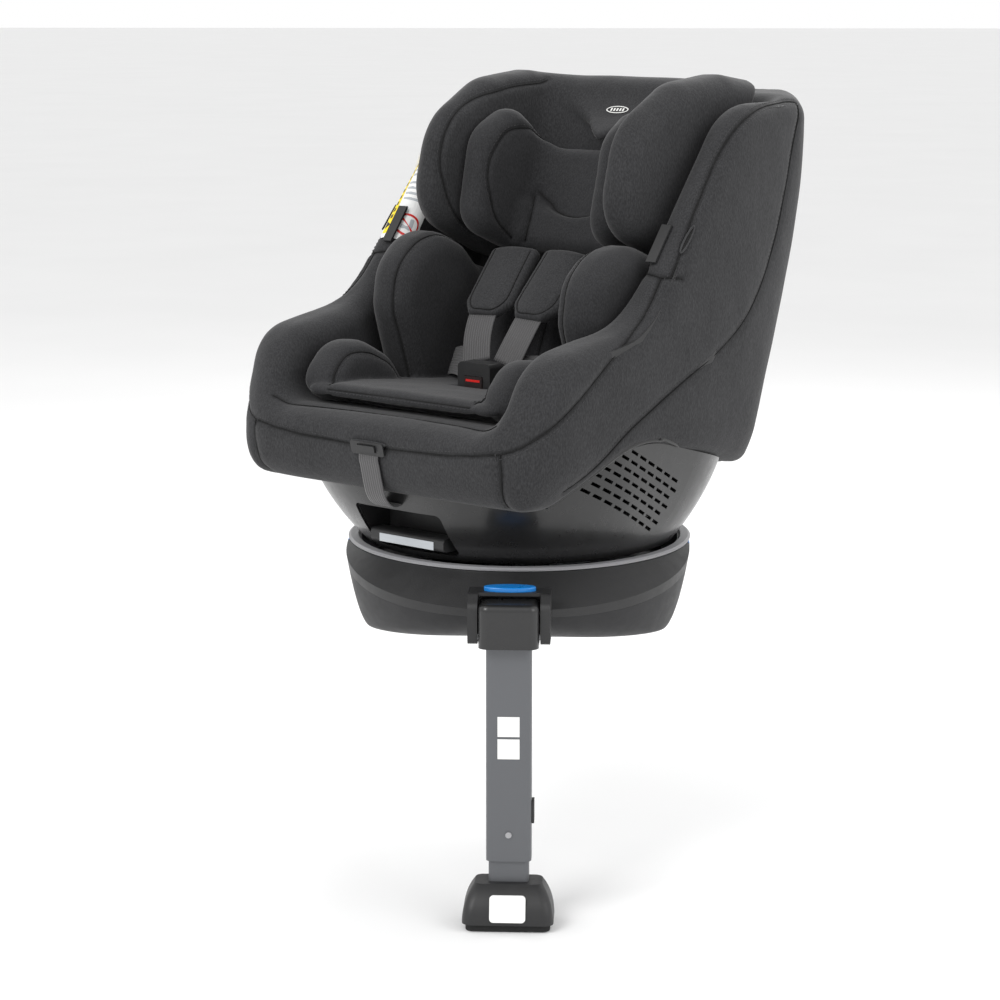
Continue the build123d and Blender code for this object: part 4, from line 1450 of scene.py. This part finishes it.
# ---- insert, headrest ---------------------------------------------------------------------------
@dataclass
class NewbornInsert:
    """The padded U in the seat: a seat and back pad between two pairs of puffed rolls."""

    shell: SeatShell
    back_roll: tuple = ((-46, 232), (-64, 285), (-78, 325), (-70, 370), (-38, 397), (0, 403), (36, 389),
                        (62, 363), (200, 309), (200, 200), (-40, 200))
    back_roll_radii: tuple = (12, 40, 50, 50, 60, 60, 40, 20, 1, 1, 10)
    thigh_roll: tuple = ((-184, 205), (-192, 266), (-160, 299), (-123, 295), (-85, 275), (-58, 238),
                         (-58, 205))
    thigh_roll_radii: tuple = (12, 34, 50, 50, 40, 10, 10)
    reach: tuple = ((-196, 200), (-200, 268), (-162, 298), (-112, 288), (-112, 345), (-80, 384), (-14, 400),
                    (36, 386), (62, 362), (200, 308), (200, 200))
    reach_radii: tuple = (10, 30, 30, 8, 30, 40, 40, 20, 20, 1, 1)
    hollow: tuple = ((-300, 262), (-150, 258), (16, 240), (181, 640), (-300, 640))
    hollow_radii: tuple = (1, 30, 40, 1, 1)
    roll_from: float = 100.0
    buckle_y: float = -62.0

    def build(self) -> None:
        """Builds the rolls and the pad between them."""
        back_roll = Profile(self.back_roll, self.back_roll_radii)
        thigh_roll = Profile(self.thigh_roll, self.thigh_roll_radii)
        reach = Profile(self.reach, self.reach_radii)
        hollow = Profile(self.hollow, self.hollow_radii)
        shell = self.shell

        def roll(outline: Profile, from_x: float, x: Array, y: Array, z: Array) -> Array:
            """Distance outside a pair of rolls.

            Args:
                outline: Their outline from the side.
                from_x: How far from the middle they begin.
                x: Places across.
                y: Places in depth.
                z: Heights.

            Returns:
                The signed distance.
            """
            inside = both(shell.cavity_line(y, z) + 3.0, outline(y, z), 20.0)
            half = shell.cavity_half + 14.0 * np.clip((y + 118.0) / 112.0, 0, 1) - 4.0
            middle = (half + from_x) / 2
            return both(inside, np.abs(np.abs(x) - middle) - (half - from_x) / 2, 25.0)

        def pad(x: Array, y: Array, z: Array) -> Array:
            """Distance outside the seat and back pad, with its hole for the buckle.

            Args:
                x: Places across the seat.
                y: Places from front to back.
                z: Heights.

            Returns:
                The signed distance.
            """
            inside = both(shell.cavity_line(y, z) + 3.0, reach(y, z), 12.0)
            slab = both(both(inside, -hollow(y, z), 13.0), np.abs(x) - self.roll_from - 34.0, 22.0)
            slab = both(slab, 243.0 + 0.12 * (y + 200.0) - z - 60.0 * between(y, -165.0, -120.0), 9.0)
            hole = np.maximum(np.abs(x) - 24.0, np.abs(y - self.buckle_y) - 18.0)
            return both(slab, -np.maximum(hole, 200 - z), 8.0)

        def whole(x: Array, y: Array, z: Array) -> Array:
            """Distance outside the whole insert.

            Args:
                x: Places across the seat.
                y: Places from front to back.
                z: Heights.

            Returns:
                The signed distance.
            """
            upper = roll(back_roll, self.roll_from, x, y, z)
            lower = roll(thigh_roll, self.roll_from - 4, x, y, z)
            return either(np.minimum(upper, lower), pad(x, y, z), 2.0)

        sewing = Sewing("insert", "seat", "insert_fabric")
        insert = Padding("newborn_insert", whole, (-172, -208, 205), (172, 214, 412), 3.2, self.seams(),
                         puff=0.6, ripple=0.5, look=Look.INSERT)
        settle_on(insert.build(sewing), "seat", ["body_insert"])
        sewing.finish()

    def seams(self) -> list[Seam]:
        """The seams round the rolls' inner faces.

        Returns:
            Every seam, on both sides.
        """
        back = Seam(((-114, -50, 240), (-114, -66, 292), (-114, -78, 325), (-114, -70, 366), (-114, -38, 394),
                     (-114, 0, 402), (-114, 34, 388), (-114, 60, 362)), depth=2.0, width=4.2, stitch_gap=3.6)
        thigh = Seam(((-99, -190, 246), (-99, -182, 268), (-99, -160, 287), (-99, -122, 284), (-99, -88, 266),
                      (-99, -70, 240)), depth=1.8, width=4.2, stitch_gap=3.6)
        hem = Seam(((-96, -197, 254), (-50, -198, 255), (0, -198, 255), (50, -198, 255), (96, -197, 254)),
                   depth=1.6, width=3.6, stitch_gap=3.4)
        spine = Seam(((0, 18, 262), (0, 40, 310), (0, 62, 356)), depth=2.2, width=4.6, stitch_gap=3.6,
                     sides=(1, -1))
        return [back, back.mirrored(), thigh, thigh.mirrored(), hem, spine]


@dataclass
class Headrest:
    """The sliding headrest: its winged pad with the brow, the head pillow and the tag."""

    side: tuple = ((-186, 140), (-203, 246), (-140, 314), (-70, 349), (-12, 363), (-9.3, 142), (-60, 137))
    side_radii: tuple = (54, 70, 70, 50, 8, 4, 30)
    pillow_side: tuple = ((-150, 142), (-166, 246), (-130, 288), (-98, 278), (-66, 262), (-40.5, 262),
                          (-40.5, 142), (-90, 139))
    pillow_radii: tuple = (34, 44, 30, 24, 12, 3, 3, 20)
    brow_low: tuple = (-82.0, 264.0)
    brow_rise: float = 50.0
    brow_normal: tuple = (-0.796, 0.605)

    def winged(self, side: Profile, x: Array, y: Array, z: Array) -> Array:
        """Distance outside the pad with its two wings and the brow between them.

        Args:
            side: The pad's outline from the side.
            x: Places across the seat.
            y: Places from front to back.
            z: Heights.

        Returns:
            The signed distance.
        """
        depth, height = back_axes(y, z)
        half = 160.0 - 15.0 * np.clip((-70.0 - depth) / 135.0, 0, 1)
        solid = both(side(depth, height), np.abs(x) - half, 26.0)
        inner = 100.0 + 12.0 * np.clip((-40.0 - depth) / 160.0, 0, 1)
        dx, dz = depth - self.brow_low[0], height - self.brow_low[1]
        before = -(dx * self.brow_normal[0] + dz * self.brow_normal[1])
        lift = self.brow_rise * (np.abs(x) / 95.0) ** 1.15
        below = (dz - 0.57 * dx - lift) * 0.8
        bay = both(np.abs(x) - inner, depth + 40.0, 26.0)
        bay = both(bay, either(before, below, 9.0), 14.0)
        return both(solid, -bay, 20.0)

    def pillow(self, side: Profile, x: Array, y: Array, z: Array) -> Array:
        """Distance outside the head pillow, its two lobes and the pad between them.

        Args:
            side: The pillow's outline from the side.
            x: Places across the seat.
            y: Places from front to back.
            z: Heights.

        Returns:
            The signed distance.
        """
        depth, height = back_axes(y, z)
        half = 99.5 + 12.0 * np.clip((-40.5 - depth) / 120.0, 0, 1)
        body = both(side(depth, height), np.abs(x) - half, 22.0)
        gap_half = 60.0 + 14.0 * np.clip((-72.0 - depth) / 90.0, 0, 1)
        dip = 6.0 * np.cos(x / 22.0)
        step_out = 11.0 * (1 - between(height + dip, 180.0, 194.0))
        gap = both(np.abs(x) - gap_half, depth + 74.0 + step_out, 22.0)
        return both(body, -gap, 17.0)

    def build(self) -> None:
        """Builds the pads and fixes them to the headrest."""
        side = Profile(self.side, self.side_radii)
        pillow_side = Profile(self.pillow_side, self.pillow_radii)
        sewing = Sewing("headrest", "headrest", "charcoal_fabric")
        winged = Padding("headrest_wings", lambda x, y, z: self.winged(side, x, y, z), (-172, -50, 345),
                         (172, 245, 600), 3.4, self.wing_seams(), puff=0.8)
        settle_on(winged.build(sewing), "headrest", ["headrest_pad"])
        lobes = Padding("head_pillow_lobes", lambda x, y, z: self.pillow(pillow_side, x, y, z),
                        (-122, -10, 350), (122, 200, 560), 3.0, self.pillow_seams(), puff=0.6,
                        look=Look.INSERT)
        settle_on(lobes.build(sewing), "headrest", ["head_pillow"])
        sewing.finish()
        self.build_tag(lambda x, y, z: self.winged(side, x, y, z))

    @staticmethod
    def build_tag(distance: Distance) -> None:
        """Lays the woven tag on the brow: an oval with five short marks.

        Args:
            distance: the distance outside the padded headrest.
        """
        middle = np.array(on_back(0.0, -48.1, 312.9))
        along = np.array(on_back(0.0, -14.0, 358.0)) - np.array(on_back(0.0, -82.0, 266.0))
        along /= np.linalg.norm(along)
        turn = np.linspace(0, 2 * math.pi, 40, endpoint=False)
        oval = np.stack([np.cos(turn), np.sin(turn)], 1)
        outer, inner = oval * (15.0, 5.5), oval * (13.6, 4.3)
        count = len(turn)
        shapes = [(np.concatenate([outer, inner]),
                   [[i, (i + 1) % count, count + (i + 1) % count, count + i] for i in range(count)])]
        for at in (-8.0, -4.0, 0.0, 4.0, 8.0):
            shapes.append((np.array([(at - 1.1, -2.2), (at + 1.1, -2.2), (at + 1.1, 2.2), (at - 1.1, 2.2)]),
                           [[0, 1, 2, 3]]))
        flat, faces = gathered(shapes)
        laid, normal = onto(distance, middle + flat[:, :1] * np.array([1.0, 0, 0]) + flat[:, 1:] * along, 4)
        tag = mesh_object("woven_tag", to_frame(laid + normal * 2.2), faces, smooth=False)
        dress(tag, Look.TAG)
        settle_on(tag, "headrest", ["headrest_tag"])

    @staticmethod
    def wing_seams() -> list[Seam]:
        """The seams inside the wings' edges.

        Returns:
            Every seam, on both sides.
        """
        guide = tuple(on_back(-x, depth, height) for x, depth, height in (
            (108, -52, 340), (113, -110, 312), (119, -160, 276), (122, -182, 236), (121, -176, 190),
            (116, -150, 160), (109, -104, 146)))
        wing = Seam(guide, depth=2.0, width=4.2, stitch_gap=3.6)
        return [wing, wing.mirrored()]

    @staticmethod
    def pillow_seams() -> list[Seam]:
        """The seams inside the lobes' edges, the centre seam and the crease across it.

        Returns:
            Every seam, on both sides.
        """
        guide = tuple(on_back(-x, depth, height) for x, depth, height in (
            (66, -76, 264), (72, -108, 268), (76, -136, 256), (79, -148, 228), (78, -144, 194),
            (74, -124, 162), (68, -94, 150)))
        lobe = Seam(guide, depth=1.8, width=3.8, stitch_gap=3.2)
        side_seam = Seam(tuple(on_back(-54, -86, height) for height in (148, 160, 175, 190, 200)), depth=2.4,
                         width=4.4, stitch_gap=0)
        bow = ((-54, 206), (-36, 194), (-16, 187), (0, 185), (16, 187), (36, 194), (54, 206))
        crease = Seam(tuple(on_back(x, -80, height) for x, height in bow), depth=3.0, width=5.0, stitch_gap=0)
        return [lobe, lobe.mirrored(), side_seam, side_seam.mirrored(), crease]


# ---- harness ------------------------------------------------------------------------------------
@dataclass
class Harness:
    """The shoulder pads, the webbing, a red mark on the buckle, and the adjuster strap in front."""

    pad_width: float = 62.0
    pad_thick: float = 13.0
    strap_width: float = 36.0
    strap_thick: float = 1.8
    panel_at: tuple[float, float] = (-239.9, 208.0)
    panel_lean: float = math.radians(14.9)

    def shoulder_pad(self, side: int) -> Distance:
        """Describes a shoulder pad with its lower corners cut off.

        Args:
            side: -1 for the left pad and 1 for the right one.

        Returns:
            The distance outside it.
        """
        low, top = np.array([side * 31.5, -24.0, 318.0]), np.array([side * 36.0, 38.0, 384.0])
        up = (top - low) / np.linalg.norm(top - low)
        across = np.array([1.0, 0, 0]) - up * up[0]
        across /= np.linalg.norm(across)
        out = np.cross(across, up)
        half, length = self.pad_width / 2, float(np.linalg.norm(top - low))
        cut = 13
        outline = Profile(((-half, 17), (-half + cut, 0), (half - cut, 0), (half, 17), (half, length),
                           (-half, length)), (7, 5, 5, 7, 6, 6), 1.5)

        def distance(x: Array, y: Array, z: Array) -> Array:
            """Distance outside the pad, worked out across it, along it and out from it.

            Args:
                x: Places across the seat.
                y: Places from front to back.
                z: Heights.

            Returns:
                The signed distance.
            """
            dx, dy, dz = x - low[0], y - low[1], z - low[2]
            a = dx * across[0] + dy * across[1] + dz * across[2]
            b = dx * up[0] + dy * up[1] + dz * up[2]
            c = dx * out[0] + dy * out[1] + dz * out[2]
            curl = c + 5.0 * (a / half) ** 2 - 1.5
            return both(outline(a, b), np.abs(curl) - self.pad_thick / 2, 5.5)

        return distance

    def strap(self, name: str, guides: Sequence[Sequence[Triple]], width: float) -> bpy.types.Object:
        """Webbing along one or more guides, its flat across the seat.

        Args:
            name: The piece's name.
            guides: Points along the middle of each run.
            width: The webbing's width.

        Returns:
            The finished mesh.
        """
        parts, places = [], []
        for guide in guides:
            line = spline(guide, 4.0)
            points, faces, place = ribbon(line, np.tile([1.0, 0, 0], (len(line), 1)), width, self.strap_thick)
            parts.append((points, faces))
            places.append(place)
        points, faces = gathered(parts)
        body = mesh_object(name, to_frame(points), faces)
        lay_uv(body, np.concatenate(places) * MM)
        dress(body, Look.WEBBING)
        return body

    def panel(self, x: float, out: float, up: float) -> Triple:
        """A point on the seat's front panel, in the seat's space."""
        sine, cosine = math.sin(self.panel_lean), math.cos(self.panel_lean)
        return (x, self.panel_at[0] + out * cosine - up * sine, self.panel_at[1] + out * sine + up * cosine)

    def build(self) -> None:
        """Builds every soft part of the harness and fixes each to its carrier, but the shoulder webbing,
        which is fixed to none.
        """
        for side, word in ((-1, "left"), (1, "right")):
            sewing = Sewing(f"shoulder_pad_{word}", "headrest", "charcoal_fabric")
            hem = ((-25, 86), (-25, 50), (-25, 20), (-14, 5), (0, 4), (14, 5), (25, 20), (25, 50), (25, 86))
            edge = tuple((side * (31.5 + s * 0.05) + a, -29.5 + s * 0.685, 323.5 + s * 0.73) for a, s in hem)
            pad = Padding(f"shoulder_pad_{word}_cover", self.shoulder_pad(side), (side * 34 - 48, -58, 288),
                          (side * 34 + 48, 66, 412), 2.4,
                          [Seam(edge, depth=1.0, width=2.6, stitch_gap=0)], puff=0.5, ripple=0.3)
            body = pad.build(sewing)
            settle_on(body, "headrest", [f"shoulder_pad_{word}"])
            sewing.finish()
        shoulder = [
            [(side * 32, -14, 329), (side * 31, -26, 316), (side * 27, -38, 296), (side * 20, -48, 272)]
            for side in (-1, 1)
        ]
        straps = self.strap("shoulder_webbing", shoulder, self.strap_width)
        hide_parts("shoulder_straps")
        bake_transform(straps)
        LOG.info("%s bends between seat and headrest", straps.name)
        laps = []
        for side in (-1, 1):
            line = [(side * 101, 6, 260), (side * 84, -6, 264), (side * 62, -24, 267), (side * 40, -42, 268),
                    (side * 24, -49, 267)]
            line = spline(line, 4.0)
            across = np.tile([0.0, 0.45, 0.89], (len(line), 1))
            laps.append(ribbon(line, across, 32.0, self.strap_thick))
        crotch = spline([(0, -62, 226), (0, -62, 231), (0, -63, 240)], 2.0)
        laps.append(ribbon(crotch, np.tile([1.0, 0, 0], (len(crotch), 1)), 28.0, 3.0))
        points, faces = gathered([(p, f) for p, f, _ in laps])
        lap = mesh_object("lap_and_crotch_webbing", to_frame(points), faces)
        lay_uv(lap, np.concatenate([place for _, _, place in laps]) * MM)
        dress(lap, Look.WEBBING)
        settle_on(lap, "seat", ["lap_and_crotch_straps"])
        corners = [(x, y, z) for z in (256.0, 258.4) for y in (-77.9, -77.2) for x in (-9.5, 9.5)]
        mark = mesh_object("buckle_mark", to_frame(np.array(corners)), [
            (0, 2, 3, 1), (4, 5, 7, 6), (0, 1, 5, 4), (2, 6, 7, 3), (0, 4, 6, 2), (1, 3, 7, 5)], smooth=False)
        dress(mark, Look.RED)
        settle_on(mark, "buckle_release")
        pull = [self.panel(0, 4.0, -2.0), self.panel(0, -2.2, -9.0), self.panel(0, -2.6, -20.0),
                self.panel(0, -3.0, -36.0), self.panel(0, -2.4, -50.0), (0, -223, 150), (0, -214, 145),
                (0, -204, 146)]
        adjuster = self.strap("adjuster_webbing", [pull], 26.0)
        settle_on(adjuster, "seat", ["adjuster_strap"])


# ---- studio -------------------------------------------------------------------------------------
@dataclass
class Studio:
    """The pale floor, the soft lights and the camera."""

    camera_at: Triple = (0.109, -2.735, 0.660)
    camera_aim: Triple = (-0.021, 0.0, 0.118)
    lens: float = 93.0
    floor_drop: float = 0.001
    floor_half: float = 60.0

    def build(self) -> None:
        """Sets the studio up round the seat."""
        low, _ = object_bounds()
        size = self.floor_half
        ground = low[2] - self.floor_drop
        corners = [(x, y, ground) for x, y in ((-size, -size), (size, -size), (size, size), (-size, size))]
        floor = mesh_object("studio_floor", np.array(corners), [(0, 1, 2, 3)])
        bench = Bench("studio_floor")
        tone = bench.noise(2.0, 2.0)
        pale = bench.mixed(tone, (0.80, 0.80, 0.80), (0.84, 0.84, 0.84))
        bench.join(pale, bench.shader.inputs["Base Color"])
        bench.shader.inputs["Roughness"].default_value = 0.7
        floor.data.materials.append(bench.material)
        floor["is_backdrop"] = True
        world = bpy.data.worlds.new("studio_air")
        world.use_nodes = True
        back = world.node_tree.nodes["Background"]
        back.inputs["Color"].default_value = (1.0, 1.0, 1.0, 1.0)
        back.inputs["Strength"].default_value = 1.0
        bpy.context.scene.view_settings.view_transform = "Standard"
        bpy.context.scene.world = world
        self.lamp("key", (-1.7, -2.1, 2.5), 1.5, 60.0)
        self.lamp("fill", (2.2, -1.4, 1.5), 1.8, 22.0)
        self.lamp("back", (0.6, 2.2, 2.2), 1.6, 36.0)
        camera = bpy.data.objects.new("camera", bpy.data.cameras.new("camera"))
        camera.data.lens = self.lens
        camera.data.sensor_width = 36.0
        camera.location = self.camera_at
        aim = Vector(self.camera_aim) - Vector(self.camera_at)
        camera.rotation_mode = "QUATERNION"
        camera.rotation_quaternion = aim.to_track_quat("-Z", "Y")
        bpy.context.scene.collection.objects.link(camera)
        bpy.context.scene.camera = camera

    @staticmethod
    def lamp(name: str, place: Triple, size: float, power: float) -> None:
        """Hangs one soft square lamp that faces the seat.

        Args:
            name: Its name.
            place: Where it hangs, in metres.
            size: Its side.
            power: Its power in watts.
        """
        light = bpy.data.lights.new(name, "AREA")
        light.size = size
        light.energy = power
        lamp = bpy.data.objects.new(name, light)
        lamp.location = place
        lamp.rotation_mode = "QUATERNION"
        lamp.rotation_quaternion = (Vector((0, 0, 0.25)) - Vector(place)).to_track_quat("-Z", "Y")
        bpy.context.scene.collection.objects.link(lamp)


def dress_nodes(frame: dict) -> None:
    """Gives every engineering part the finish of its slot.

    Args:
        frame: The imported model, as loaded.
    """
    slots = {part["node"]: part["material_slot"] for part in frame["record"]["subparts"]}
    for name, node in frame["nodes"].items():
        look = SLOT_LOOKS[slots[name]]
        if not node.data.materials:
            node.data.materials.append(look.material())
        for place in range(len(node.data.materials)):
            node.data.materials[place] = look.material()


def main() -> None:
    """Builds the whole scene in order."""
    logging.basicConfig(level=logging.INFO, format="%(message)s")
    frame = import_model()
    dress_nodes(frame)
    shell = SeatShell()
    shell.build()
    NewbornInsert(shell).build()
    Headrest().build()
    Harness().build()
    Studio().build()


if __name__ == "__main__":
    main()
